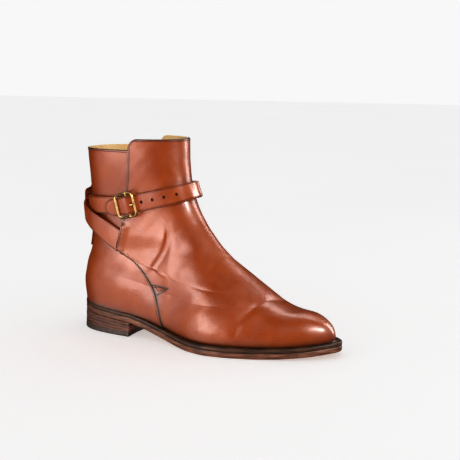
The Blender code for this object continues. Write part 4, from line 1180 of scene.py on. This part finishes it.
def make_tab(outside, thread):
    """The small stitched triangle where the seam's two parts meet."""
    corners = np.array(TAB) * MM
    lines = []
    for inset in TAB_INSETS:
        shrunk = corners + unit(corners.mean(axis=0) - corners) * inset
        outline = []
        for a, b in zip(shrunk, np.roll(shrunk, -1, axis=0)):
            outline += [a + (b - a) * t for t in np.linspace(0, 1, TAB_POINTS)[:-1]]
        outline.append(shrunk[0])
        lines.append(drop_to_upper(outside, outline))
    add_stitches("tab_stitches", lines, TAB_STITCH, thread)


def even_loop_width(s):
    return np.full(len(s), LOOP_WIDTH)


def tip_share(s, total, tip):
    """How far into the rounded tip a station lies, 0 before it and 1 at its end."""
    return np.clip((s - total + tip) / tip, 0, 1) if tip else np.zeros(len(s))


def strap_piece(slot_name, rows, full_width, thickness, rooted, material, tip=0.0, wrinkles=()):
    """A fine strap on the same route as its solid, with rounded edges and a crown. Its attribute "edge" is
    the distance to its nearest edge in millimetres."""
    at, turns, heights, lifts = route_samples(rows, STRAP_STATION)
    stations = at
    if tip:
        rounded = at[-1] - tip * (1 - np.sin(np.linspace(0, TIP_END * math.pi / 2, TIP_STATIONS)))
        stations = np.concatenate([at[at < at[-1] - tip - STRAP_STATION / 2], rounded])
    turns, heights, lifts = [np.interp(stations, at, values) for values in (turns, heights, lifts)]
    into_tip = tip_share(stations, at[-1], tip)
    crease = np.zeros(len(stations))
    for spot in wrinkles:
        crease += WRINKLE_DEPTH * np.exp(-((stations - spot) / WRINKLE_WIDTH) ** 2)
    full = full_width(stations) / 2
    width = np.sqrt(1 - into_tip ** 2)
    middles, normal, by_turn, by_up = shaft_frame(turns, heights)
    ahead = np.gradient(middles, stations, axis=0)
    ahead = unit(ahead - normal * np.sum(ahead * normal, axis=1, keepdims=True))
    moves = []
    for axes_turn, axes_up, across in zip(by_turn, by_up, np.cross(normal, ahead)):
        moves.append(np.linalg.lstsq(np.column_stack([axes_turn, axes_up]), across, rcond=None)[0])
    moves = np.array(moves) * (full * width)[:, None]
    laid = np.full(len(stations), LAID)
    if rooted:
        laid = ROOT_LAID + (LAID - ROOT_LAID) * ease(stations / ROOT_FADE)
    top, low, edge_of = [], [], []
    for share in np.sin(np.linspace(-1, 1, STRAP_POINTS) * math.pi / 2):
        turn = turns + moves[:, 0] * share
        height = heights + moves[:, 1] * share
        if rooted:
            turn = np.where(stations < STRAP_ROOT_LENGTH, pull_to_seam(turn, height), turn)
        spot, out = shaft_frame(turn, height)[:2]
        to_edge = (1 - np.sqrt(into_tip ** 2 + (share * width) ** 2)) * full
        if rooted:
            to_edge = np.minimum(to_edge, stations + 0.0001)
        rounding = thickness * ROUND_SHARE * np.clip(1 - to_edge / STRAP_ROUND, 0, 1) ** 2
        crown = STRAP_CROWN * (1 - share * share)
        rise = thickness - STRAP_CROWN - rounding + crown - crease * (1 - WRINKLE_FADE * share ** 2)
        top.append(spot + out * (laid + lifts + rise)[:, None])
        low.append(spot + out * (laid + lifts + rounding)[:, None])
        edge_of.append(to_edge / MM)
    sections = np.stack(top + low[::-1], axis=1)
    edges = np.stack(edge_of + edge_of[::-1], axis=1)
    count = sections.shape[1]
    faces = list(grid_faces(len(stations), count)[:, ::-1])
    faces += [np.arange(count), (np.arange(count) + (len(stations) - 1) * count)[::-1]]
    name = slot_name + "_fine"
    mesh = build_mesh(name, sections, faces, smooth=75, attributes={"edge": edges})
    return link(name, mesh, material, slot_name)


def cut_holes(strap, edge_paint):
    """Punch the strap's holes and the prong's gate through, then keep only the result."""
    place = route_place(BUCKLE_TURN)
    slot_half = PRONG_RADIUS + 2 * GAP
    cutters = []
    shapes = [(place @ Matrix.Translation((-GATE_FRONT * 0.9, 0, 0)), slot_half * 0.85)]
    for number in range(1, HOLE_COUNT + 1):
        spot = route_place(strap_past_bar(-HOLE_START - HOLE_SPACING * number)[0])
        shapes.append((spot, HOLE_RADIUS * 0.95))
    for n, (spot, radius) in enumerate(shapes):
        mesh = bpy.data.meshes.new("cutter")
        work = bmesh.new()
        bmesh.ops.create_cone(work, cap_ends=True, segments=28, radius1=radius, radius2=radius,
                              depth=2 * CUT_DEPTH)
        if n == 0:
            bmesh.ops.scale(work, vec=(1.3, 1.0, 1.0), verts=work.verts)
        work.to_mesh(mesh)
        work.free()
        mesh.materials.append(edge_paint)
        body = bpy.data.objects.new("cutter", mesh)
        bpy.context.scene.collection.objects.link(body)
        body.matrix_world = Matrix.Translation(Vector(TO_ROW)) @ spot
        body.hide_render = True
        cutters.append(body)
        step = strap.modifiers.new("hole", "BOOLEAN")
        step.operation = "DIFFERENCE"
        step.solver = "EXACT"
        step.object = body
        step.material_mode = "TRANSFER"
    bpy.context.view_layer.update()
    made = bpy.data.meshes.new_from_object(strap.evaluated_get(bpy.context.evaluated_depsgraph_get()))
    strap.modifiers.clear()
    strap.data = made
    for body in cutters:
        bpy.data.objects.remove(body, do_unlink=True)


def wire_sections(path, radius, sides=18, closed=False, flatten=1.0, out=(0.0, 0.0, 1.0)):
    """Sections of a smooth wire along a path in the buckle's own axes."""
    path = np.array(path)
    if closed:
        ahead = np.roll(path, -1, axis=0) - np.roll(path, 1, axis=0)
    else:
        ahead = np.gradient(path, axis=0)
    ahead = unit(ahead)
    side = unit(np.cross(ahead, np.array(out)))
    up = np.cross(side, ahead)
    turn = np.linspace(0, 2 * math.pi, sides, endpoint=False)[None, :, None]
    radius = np.broadcast_to(radius, len(path))[:, None, None]
    ring = np.cos(turn) * side[:, None, :] + flatten * np.sin(turn) * up[:, None, :]
    return path[:, None, :] + radius * ring


def placed(sections, place):
    flat = sections.reshape(-1, 3)
    matrix = np.array(place)
    return (flat @ matrix[:3, :3].T + matrix[:3, 3]).reshape(sections.shape)


def add_wire(name, path, radius, place, material, slot_name, replaces=None, closed=False, **shape):
    """A wire of the buckle, from a path in the buckle's own axes."""
    sections = placed(wire_sections(path, radius, closed=closed, **shape), place)
    link(name, tube_mesh(name, sections, closed), material, replaces)


def frame_path(half_l, half_w, bar_height, front_height, back_height):
    """The buckle frame's middle line: a rounded rectangle whose ends rise over the strap."""
    outline = []
    for quarter, (sign_x, sign_y) in enumerate(((1, 1), (-1, 1), (-1, -1), (1, -1))):
        for share in np.linspace(0, 1, CORNER_POINTS):
            angle = (quarter + share) * math.pi / 2
            outline.append((sign_x * (half_l - BUCKLE_CORNER) + BUCKLE_CORNER * math.cos(angle),
                            sign_y * (half_w - BUCKLE_CORNER) + BUCKLE_CORNER * math.sin(angle)))
    outline = resample(np.array(outline + outline[:1]), FRAME_POINTS + 1)[:-1]
    end = np.where(outline[:, 0] > 0, back_height, front_height)
    height = bar_height + (end - bar_height) * (np.abs(outline[:, 0]) / half_l) ** FRAME_RISE
    for _ in range(FRAME_SMOOTHING):
        height = (np.roll(height, 1) + height + np.roll(height, -1)) / 3
    return np.column_stack([outline, height])


def make_buckle(brass, leather):
    place = route_place(BUCKLE_TURN)
    half_l = BUCKLE_LENGTH / 2 - BUCKLE_WIRE
    half_w = BUCKLE_WIDTH / 2 - BUCKLE_WIRE
    front_height = wire_over_strap(place, -half_l)
    back_height = wire_over_strap(place, half_l)
    bar_height = LAID + EYE_LEATHER + GAP + BUCKLE_WIRE
    path = frame_path(half_l, half_w, bar_height, front_height, back_height)
    add_wire("buckle_frame_fine", path, BUCKLE_WIRE * 1.04, place, brass, "buckle_frame", "buckle_frame",
             closed=True, flatten=WIRE_FLATTEN)
    bar = [(0, y, bar_height) for y in np.linspace(-half_w, half_w, 9)]
    add_wire("buckle_bar", bar, BUCKLE_WIRE * 0.98, place, brass, "buckle_frame")

    ring_radius = BUCKLE_WIRE + GAP + PRONG_RADIUS
    turn = np.linspace(0, 2 * math.pi, RING_POINTS, endpoint=False)
    ring = np.column_stack([ring_radius * np.cos(turn), 0 * turn, bar_height + ring_radius * np.sin(turn)])
    add_wire("prong_ring", ring, PRONG_RADIUS, place, brass, "buckle_prong", closed=True, out=(0.0, 1.0, 0.0))
    ring_top = bar_height + ring_radius
    rest = front_height + BUCKLE_WIRE + GAP + PRONG_RADIUS
    rod = np.array([
        (-0.02 * half_l, 0, ring_top - 0.4 * PRONG_RADIUS),
        (-0.35 * half_l, 0, ring_top + 1.1 * PRONG_RADIUS),
        (-0.66 * half_l, 0, rest + 0.2 * PRONG_RADIUS),
        (-0.85 * half_l, 0, rest + 0.4 * PRONG_RADIUS),
        (-half_l, 0, rest),
        (-half_l - 2.2 * PRONG_RADIUS, 0, rest - 0.7 * PRONG_RADIUS),
    ])
    length = along_path(rod)[-1]
    to_tip = length - np.linspace(0, length, ROD_POINTS)
    taper = PRONG_RADIUS * np.sqrt(np.clip(to_tip / (PRONG_TIP * PRONG_RADIUS), PRONG_BLUNT, 1))
    add_wire("prong_rod", smooth_path(rod, ROD_POINTS), taper, place, brass, "buckle_prong", "buckle_prong",
             flatten=WIRE_FLATTEN)

    eye_half = STRAP_WIDTH / 2 - EYE_MARGIN
    radius = BUCKLE_WIRE + 2 * GAP + EYE_LEATHER
    for n, (low, high) in enumerate(((-eye_half, -EYE_GAP), (EYE_GAP, eye_half))):
        line = [(0, y, bar_height) for y in np.linspace(low, high, 7)]
        add_wire(f"bar_leather_{n}", line, radius, place, leather, "buckle_strap", sides=28)


def raised(lift):
    """A height over the outsole's underside, as a function of x."""
    return lambda x: walk(x) + lift


def make_welt(material, thread):
    """The welt, with a groove round its top and stitches in the groove."""
    outline = outline_ring(count=WELT_POINTS)
    inward = inward_of(outline)
    margin = np.linalg.norm(outline_ring(count=WELT_POINTS, inset=None) - outline, axis=1)
    base = SOLE_THICKNESS
    top = SOLE_THICKNESS + WELT_THICKNESS
    wide = ease((margin - GROOVE_MARGIN) / GROOVE_FADE)
    groove = GROOVE_DEPTH * wide
    profile = [
        (margin + WALL + GAP, raised(base)),
        (0.0003, raised(base)),
        (0.0, raised(base + 0.0004)),
        (-0.00015, raised(base + WELT_THICKNESS * 0.5)),
        (0.0, raised(top - 0.0008)),
        (0.0002, raised(top - 0.0003)),
        (0.0006, raised(top)),
        (margin * 0.34, raised(top)),
        (margin * 0.42, raised(top - groove)),
        (margin * 0.62, raised(top - groove)),
        (margin * 0.72, raised(top)),
        (margin + WALL + GAP, raised(top)),
    ]
    layers = []
    for inset, height in profile:
        flat = outline + inward * np.reshape(inset, (-1, 1))
        layers.append(np.column_stack([flat, height(flat[:, 0])]))
    mesh = tube_mesh("welt_fine", np.stack(layers, axis=1), closed=True, smooth=40)
    link("welt_fine", mesh, material, "welt")

    line = outline + inward * (margin * 0.52)[:, None]
    path = np.column_stack([line, walk(line[:, 0]) + top - groove])
    order = np.roll(np.arange(len(outline)), -int(np.argmin(outline[:, 0])))
    path = path[order[wide[order] > STITCHED_SHARE]]
    out = np.tile([0.0, 0.0, 1.0], (len(path), 1))
    add_stitches("welt_stitches", [(path, out)], WELT_STITCH, thread)


def make_outsole(material):
    """The outsole from closed outlines, the lowest first, with rungs across its two faces."""
    rings = []
    for inset, lift in OUTSOLE_LAYERS:
        edges = edges_of(outline_ring(count=OUTSOLE_POINTS, inset=inset))
        outer = resample(edges[OUTER], RUNGS + 1)
        inner = resample(edges[INNER], RUNGS + 1)
        ring = np.vstack([outer, inner[-2:0:-1]])
        rings.append(np.column_stack([ring, walk(ring[:, 0]) + lift]))
    rise = np.concatenate([ring[:, 2] - walk(ring[:, 0]) for ring in rings]) / MM
    count = 2 * RUNGS
    faces = list(grid_faces(len(rings), count))
    for base, flip in ((0, True), ((len(rings) - 1) * count, False)):
        for i in range(RUNGS):
            quad = [i, i + 1, count - i - 1, (count - i) % count]
            quad = [q for n, q in enumerate(quad) if q not in quad[:n]]
            face = np.array(quad) + base
            faces.append(face[::-1] if flip else face)
    mesh = build_mesh("outsole_fine", np.concatenate(rings), faces, smooth=35, attributes={"rise": rise})
    link("outsole_fine", mesh, material, "outsole")


def fine_heel_ring(z, shrink=0.0):
    ring = heel_ring(z, shrink)
    return resample(np.vstack([ring, ring[:1]]), HEEL_POINTS + 1)[:-1]


def make_heel(stacked, top_piece):
    """The top piece and the leather lifts, each with softly rounded edges so that the joints show."""
    for n in range(HEEL_LAYERS + 1):
        rings = []
        for share, shrink in LAYER_EDGES:
            if n == 0:
                ring = fine_heel_ring(TOP_PIECE_THICKNESS * share, shrink)
                height = np.full(len(ring), TOP_PIECE_THICKNESS * share)
            else:
                up = (n - 1 + share) / HEEL_LAYERS
                mean = TOP_PIECE_THICKNESS + (HEEL_BREAST_HEIGHT - TOP_PIECE_THICKNESS) * up
                ring = fine_heel_ring(mean, shrink + LAYER_SHIFT[n - 1])
                height = TOP_PIECE_THICKNESS + (walk(ring[:, 0]) - GAP / 2 - TOP_PIECE_THICKNESS) * up
            rings.append(np.column_stack([ring, height]))
        sections = np.array(rings)
        name = "heel_top_piece_fine" if n == 0 else f"heel_lift_fine_{n}"
        slot_name = "heel_top_piece" if n == 0 else f"heel_lift_{min(n, HEEL_LIFTS)}"
        mesh = tube_mesh(name, sections, smooth=35, attributes={"rise": sections[:, :, 2] / MM})
        replaced = slot_name if n <= HEEL_LIFTS else None
        link(name, mesh, top_piece if n == 0 else stacked, replaced)


class Graph:
    """A small helper for building the nodes of a material or a world."""

    def __init__(self, owner):
        owner.use_nodes = True
        self.owner = owner
        self.nodes = owner.node_tree.nodes
        self.links = owner.node_tree.links
        self.ways = self.add("ShaderNodeTexCoord").outputs
        self.place = self.ways["Object"]

    def add(self, kind, inputs=None, **settings):
        node = self.nodes.new(kind)
        for key, value in settings.items():
            setattr(node, key, value)
        for key, value in (inputs or {}).items():
            self.put(node.inputs[key], value)
        return node

    def put(self, socket, value):
        if hasattr(value, "is_linked"):
            self.links.new(value, socket)
        elif isinstance(value, tuple) and len(value) == 3 and socket.type == "RGBA":
            socket.default_value = (*value, 1)
        else:
            socket.default_value = value

    def noise(self, scale, detail=3.0, rough=0.55, place=None):
        inputs = {"Vector": place or self.place, "Scale": scale, "Detail": detail, "Roughness": rough}
        return self.add("ShaderNodeTexNoise", inputs).outputs["Fac"]

    def cells(self, scale):
        inputs = {"Vector": self.place, "Scale": scale}
        return self.add("ShaderNodeTexVoronoi", inputs, feature="SMOOTH_F1").outputs["Distance"]

    def stretched(self, x, y, z):
        return self.add("ShaderNodeMapping", {"Vector": self.place, "Scale": (x, y, z)}).outputs["Vector"]

    def attribute(self, name):
        return self.add("ShaderNodeAttribute", attribute_name=name).outputs["Fac"]

    def spread(self, value, low, high, to_low=0.0, to_high=1.0):
        inputs = {"Value": value, "From Min": low, "From Max": high, "To Min": to_low, "To Max": to_high}
        return self.add("ShaderNodeMapRange", inputs, interpolation_type="SMOOTHSTEP").outputs["Result"]

    def patches(self, scale, detail=3.0, to_low=0.0, to_high=1.0):
        """Soft patches that run evenly from one value to another."""
        return self.spread(self.noise(scale, detail), 0.3, 0.7, to_low, to_high)

    def sum(self, a, b, operation="ADD"):
        return self.add("ShaderNodeMath", {0: a, 1: b}, operation=operation).outputs[0]

    def times(self, a, b):
        return self.sum(a, b, "MULTIPLY")

    def blend(self, share, a, b):
        node = self.add("ShaderNodeMix", data_type="RGBA")
        self.put(node.inputs["Factor"], share)
        self.put(node.inputs[6], a)
        self.put(node.inputs[7], b)
        return node.outputs[2]

    def bump(self, height, strength, distance, normal=None):
        inputs = {"Height": height, "Strength": strength, "Distance": distance}
        if normal:
            inputs["Normal"] = normal
        return self.add("ShaderNodeBump", inputs).outputs["Normal"]

    def finish(self, colour, roughness, normal, **numbers):
        inputs = {"Base Color": colour, "Roughness": roughness, "Normal": normal}
        for key, value in numbers.items():
            inputs[key.replace("_", " ")] = value
        for key, value in inputs.items():
            self.put(self.nodes["Principled BSDF"].inputs[key], value)
        return self.owner


def material_graph(name):
    return Graph(bpy.data.materials.new(name))


def edge_line(g, edge, rise, fall):
    """A thin line beside the edge: rise and fall are the distances in mm where it comes in and goes out."""
    return g.times(g.spread(edge, *rise), g.spread(edge, *fall, 1.0, 0.0))


def finish_calf(g, colour, line, swells):
    """The grain and gloss that the upper and the straps share. Swells are rows of scale, detail, strength and
    distance of softer unevenness."""
    grain = g.sum(g.cells(1500), g.times(g.noise(900, 4), 0.6))
    normal = g.bump(grain, 0.30, 0.00020)
    for scale, detail, strength, distance in ((620, 2, 0.55, 0.00030), *swells):
        normal = g.bump(g.noise(scale, detail, 0.5), strength, distance, normal)
    normal = g.bump(g.times(line, -1.0), 0.5, 0.0004, normal)
    roughness = g.patches(60, 4, 0.32, 0.44)
    return g.finish(colour, roughness, normal, Specular_IOR_Level=0.45, Coat_Weight=0.3, Coat_Roughness=0.24)


def upper_leather():
    g = material_graph("boot_calf_leather")
    mottle = g.spread(g.noise(140, 5, 0.6), 0.3, 0.72)
    colour = g.blend(g.patches(26, 4), TAN_DEEP, TAN_PALE)
    colour = g.blend(g.times(mottle, 0.12), colour, (0.25, 0.028, 0.002))
    # darkened near the welt and seam, with painted shade beside the overlapping edges of the quarter and the
    # front panel
    darkening_and_shade = g.times(g.attribute("darkening_and_shade"), g.spread(g.noise(70, 3), 0.2, 0.8, 0.75, 1.15))
    colour = g.blend(darkening_and_shade, colour, (0.045, 0.012, 0.004))
    edge = g.attribute("edge")
    line = edge_line(g, edge, (0.9, 1.35), (1.55, 2.0))
    colour = g.blend(g.times(line, 0.55), colour, (0.06, 0.014, 0.004))
    colour = g.blend(g.spread(edge, 0.1, 0.6, 0.85, 0.0), colour, (0.05, 0.014, 0.005))
    return finish_calf(g, colour, line, ((210, 3, 0.16, 0.0005), (48, 2, 0.22, 0.0012)))


def strap_leather():
    g = material_graph("strap_leather")
    colour = g.blend(g.patches(30, 4), TAN_DEEP, TAN_PALE)
    edge = g.attribute("edge")
    line = edge_line(g, edge, (1.0, 1.4), (1.7, 2.1))
    colour = g.blend(g.times(line, 0.9), colour, (0.05, 0.012, 0.004))
    colour = g.blend(g.spread(edge, 0.05, 0.35, 0.9, 0.0), colour, (0.035, 0.011, 0.005))
    return finish_calf(g, colour, line, ((150, 3, 0.2, 0.0006),))


def edge_leather():
    g = material_graph("painted_edge")
    colour = g.blend(g.patches(400), (0.040, 0.013, 0.006), (0.085, 0.026, 0.009))
    return g.finish(colour, g.patches(120, 2, 0.38, 0.52), g.bump(g.noise(900), 0.3, 0.0002))


def lining_leather():
    g = material_graph("lining_leather")
    colour = g.blend(g.patches(40, 4), (0.97, 0.66, 0.29), (0.99, 0.76, 0.40))
    turned = g.add("ShaderNodeMapping", {"Vector": g.place, "Rotation": (0.6, 0.0, 0.9)}).outputs["Vector"]
    ribs = g.add("ShaderNodeTexWave", {"Vector": turned, "Scale": 130.0, "Distortion": 1.2, "Detail": 2.0},
                 wave_type="BANDS", bands_direction="DIAGONAL").outputs["Fac"]
    colour = g.blend(g.times(ribs, 0.22), colour, (0.55, 0.28, 0.08))
    normal = g.bump(g.noise(700), 0.2, 0.0002, g.bump(ribs, 0.25, 0.0005))
    return g.finish(colour, g.patches(90, 3, 0.55, 0.72), normal, Sheen_Weight=0.15)


def dark_thread():
    g = material_graph("waxed_thread")
    twist = g.noise(2600, 2)
    colour = g.blend(twist, (0.030, 0.012, 0.006), (0.085, 0.036, 0.016))
    return g.finish(colour, g.spread(twist, 0.3, 0.7, 0.5, 0.65), g.bump(twist, 0.4, 0.0002))


def brass_metal():
    g = material_graph("antique_brass")
    patina = g.spread(g.noise(260, 5, 0.6), 0.35, 0.68)
    colour = g.blend(patina, (0.52, 0.37, 0.17), (0.33, 0.235, 0.10))
    return g.finish(colour, g.patches(420, 4, 0.32, 0.48), g.bump(g.noise(800), 0.12, 0.0002), Metallic=1.0)


def worn_foot(g, colour, raggedness, fade, worn):
    """Wear near the floor: raggedness is (scale, lowest, highest) in mm, fade is (low, high, strength)."""
    scale, lowest, highest = raggedness
    low, high, strength = fade
    ragged = g.sum(g.attribute("rise"), g.spread(g.noise(scale, 4), 0.2, 0.8, lowest, highest))
    return g.blend(g.spread(ragged, low, high, strength, 0.0), colour, worn)


def sole_leather(name, low, high, layered, worn):
    """Dark finished sole leather, streaked along its layers, with a worn lower edge where worn is true."""
    g = material_graph(name)
    streaks = g.noise(1.0, 5, 0.62, g.stretched(55, 55, layered))
    patches = g.spread(g.noise(38, 4), 0.3, 0.72)
    colour = g.blend(g.spread(streaks, 0.32, 0.68), low, high)
    colour = g.blend(g.times(patches, 0.35), colour, tuple(0.45 * c for c in low))
    if worn:
        colour = worn_foot(g, colour, (150, -0.7, 0.9), (0.1, 0.9, 0.6), (0.30, 0.12, 0.035))
    normal = g.bump(g.noise(650, 4), 0.2, 0.0003, g.bump(streaks, 0.35, 0.0004))
    return g.finish(colour, g.patches(110, 3, 0.42, 0.6), normal, Specular_IOR_Level=0.3)


def top_rubber():
    g = material_graph("heel_rubber")
    colour = g.blend(g.noise(300, 4), (0.040, 0.022, 0.014), (0.095, 0.054, 0.036))
    colour = worn_foot(g, colour, (170, -0.5, 0.8), (0.0, 0.9, 0.7), (0.26, 0.13, 0.055))
    return g.finish(colour, g.patches(200, 3, 0.5, 0.7), g.bump(g.noise(900, 4), 0.3, 0.0003))


def insole_leather():
    g = material_graph("insole_leather")
    colour = g.blend(g.patches(32, 4), (0.42, 0.23, 0.09), (0.56, 0.33, 0.14))
    colour = g.blend(g.spread(g.cells(240), 0.0, 0.3, 0.25, 0.0), colour, (0.22, 0.10, 0.035))
    return g.finish(colour, g.patches(80, 3, 0.6, 0.75), g.bump(g.noise(800, 4), 0.25, 0.0003))


def aim(name, data, azimuth, elevation, distance, target):
    """Put a lamp or camera into the scene at a distance from its target, in degrees round and over it."""
    a, e = math.radians(azimuth), math.radians(elevation)
    way = Vector((math.sin(a) * math.cos(e), -math.cos(a) * math.cos(e), math.sin(e)))
    body = bpy.data.objects.new(name, data)
    body.location = Vector(target) + way * distance
    body.rotation_euler = way.to_track_quat("Z", "Y").to_euler()
    bpy.context.scene.collection.objects.link(body)
    return body


def soft_light(light, colour, target):
    lamp = bpy.data.lights.new(light.name, "AREA")
    lamp.shape = "RECTANGLE"
    lamp.size, lamp.size_y = light.size
    lamp.energy = light.power
    lamp.color = colour
    return aim(light.name, lamp, light.azimuth, light.elevation, light.distance, target)


def make_world():
    """Studio surroundings: pale for the camera, even for soft light, and for reflections bright in one patch
    low in front and dark elsewhere."""
    world = bpy.data.worlds.new("studio")
    bpy.context.scene.world = world
    world.cycles.sampling_method = "NONE"
    g = Graph(world)
    shares = []
    for direction, low, high in BRIGHT_WAYS:
        inputs = {0: g.ways["Generated"], 1: direction}
        toward = g.add("ShaderNodeVectorMath", inputs, operation="DOT_PRODUCT").outputs["Value"]
        shares.append(g.spread(toward, low, high))
    inputs = {"Value": g.times(*shares), "To Min": WORLD_DARK, "To Max": WORLD_BRIGHT}
    reflected = g.add("ShaderNodeMapRange", inputs).outputs["Result"]
    rays = g.add("ShaderNodeLightPath").outputs
    inputs = {"Factor": rays["Is Glossy Ray"], "A": AMBIENT, "B": reflected}
    lit = g.add("ShaderNodeMix", inputs, data_type="FLOAT").outputs["Result"]
    inputs = {"Factor": rays["Is Camera Ray"], "A": lit, "B": BACKDROP}
    seen = g.add("ShaderNodeMix", inputs, data_type="FLOAT").outputs["Result"]
    background = g.nodes["Background"].inputs
    g.put(background["Strength"], seen)
    g.put(background["Color"], WHITE)


def make_floor():
    """The studio floor, which glows a little and doesn't show in reflections."""
    g = material_graph("pale_floor")
    tone = g.noise(2.0, 2)
    colour = g.blend(tone, (0.85, 0.85, 0.85), (0.88, 0.88, 0.88))
    material = g.finish(colour, g.spread(tone, 0.3, 0.7, 0.75, 0.8), g.bump(g.noise(60, 2), 0.02, 0.001),
                        Emission_Color=WHITE, Emission_Strength=FLOOR_GLOW, Specular_IOR_Level=0.1)
    mesh = bpy.data.meshes.new("floor")
    corners = [(x * FLOOR_HALF, y * FLOOR_HALF, 0) for x, y in ((-1, -1), (1, -1), (1, 1), (-1, 1))]
    mesh.from_pydata(corners, [], [(0, 1, 2, 3)])
    mesh.materials.append(material)
    floor = bpy.data.objects.new("floor", mesh)
    bpy.context.scene.collection.objects.link(floor)
    floor.visible_glossy = False
    return floor


def make_camera():
    data = bpy.data.cameras.new("camera")
    data.sensor_width = 36
    data.lens = CAMERA_LENS
    data.clip_start = 0.01
    camera = aim("camera", data, CAMERA_AZIMUTH, CAMERA_ELEVATION, CAMERA_DISTANCE, CAMERA_TARGET)
    bpy.context.scene.camera = camera


def make_lights(floor):
    """The key light, which leaves the floor out, and the boxes that show only as sheen."""
    key = soft_light(KEY_LIGHT, KEY_COLOUR, KEY_TARGET)
    key.visible_glossy = False
    left_out = bpy.data.collections.new("key_leaves_out")
    left_out.objects.link(floor)
    left_out.collection_objects[0].light_linking.link_state = "EXCLUDE"
    key.light_linking.receiver_collection = left_out
    for light in SHEEN_BOXES:
        soft_light(light, SHEEN_COLOUR, SHEEN_TARGET).visible_diffuse = False


def beside_buckle():
    """Stations of the wrinkles in the long strap, just in front of the buckle."""
    at, turns = route_samples(LONG_STRAP, ROUTE_STEP)[:2]
    bar = float(np.interp(BUCKLE_TURN, turns, at))
    return [bar - BUCKLE_LENGTH / 2 - step for step in WRINKLE_STEPS]


def main():
    straps = strap_leather()
    edges = edge_leather()
    thread = dark_thread()
    welt = sole_leather("welt_leather", (0.050, 0.021, 0.010), (0.17, 0.073, 0.036), 300, False)
    sole = sole_leather("outsole_leather", (0.125, 0.050, 0.028), (0.42, 0.175, 0.095), 700, True)
    stacked = sole_leather("stacked_leather", (0.100, 0.040, 0.024), (0.37, 0.165, 0.105), 800, False)

    outside = make_upper(upper_leather(), edges, lining_leather())
    make_seams(outside, thread)
    make_tab(outside, thread)
    long_strap = strap_piece("long_strap", LONG_STRAP, root_width, STRAP_THICKNESS, True, straps,
                             tip=STRAP_TIP, wrinkles=beside_buckle())
    cut_holes(long_strap, edges)
    strap_piece("buckle_strap", BUCKLE_STRAP, root_width, STRAP_THICKNESS, True, straps)
    strap_piece("back_loop", LOOP_ROUTE, even_loop_width, LOOP_THICKNESS, False, straps)
    make_buckle(brass_metal(), straps)
    make_welt(welt, thread)
    make_outsole(sole)
    make_heel(stacked, top_rubber())
    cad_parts["insole"].material_slots[0].material = insole_leather()

    make_world()
    make_lights(make_floor())
    make_camera()
    bpy.context.scene.view_settings.view_transform = "Standard"
    bpy.context.scene.view_settings.gamma = PRINT_GAMMA


main()
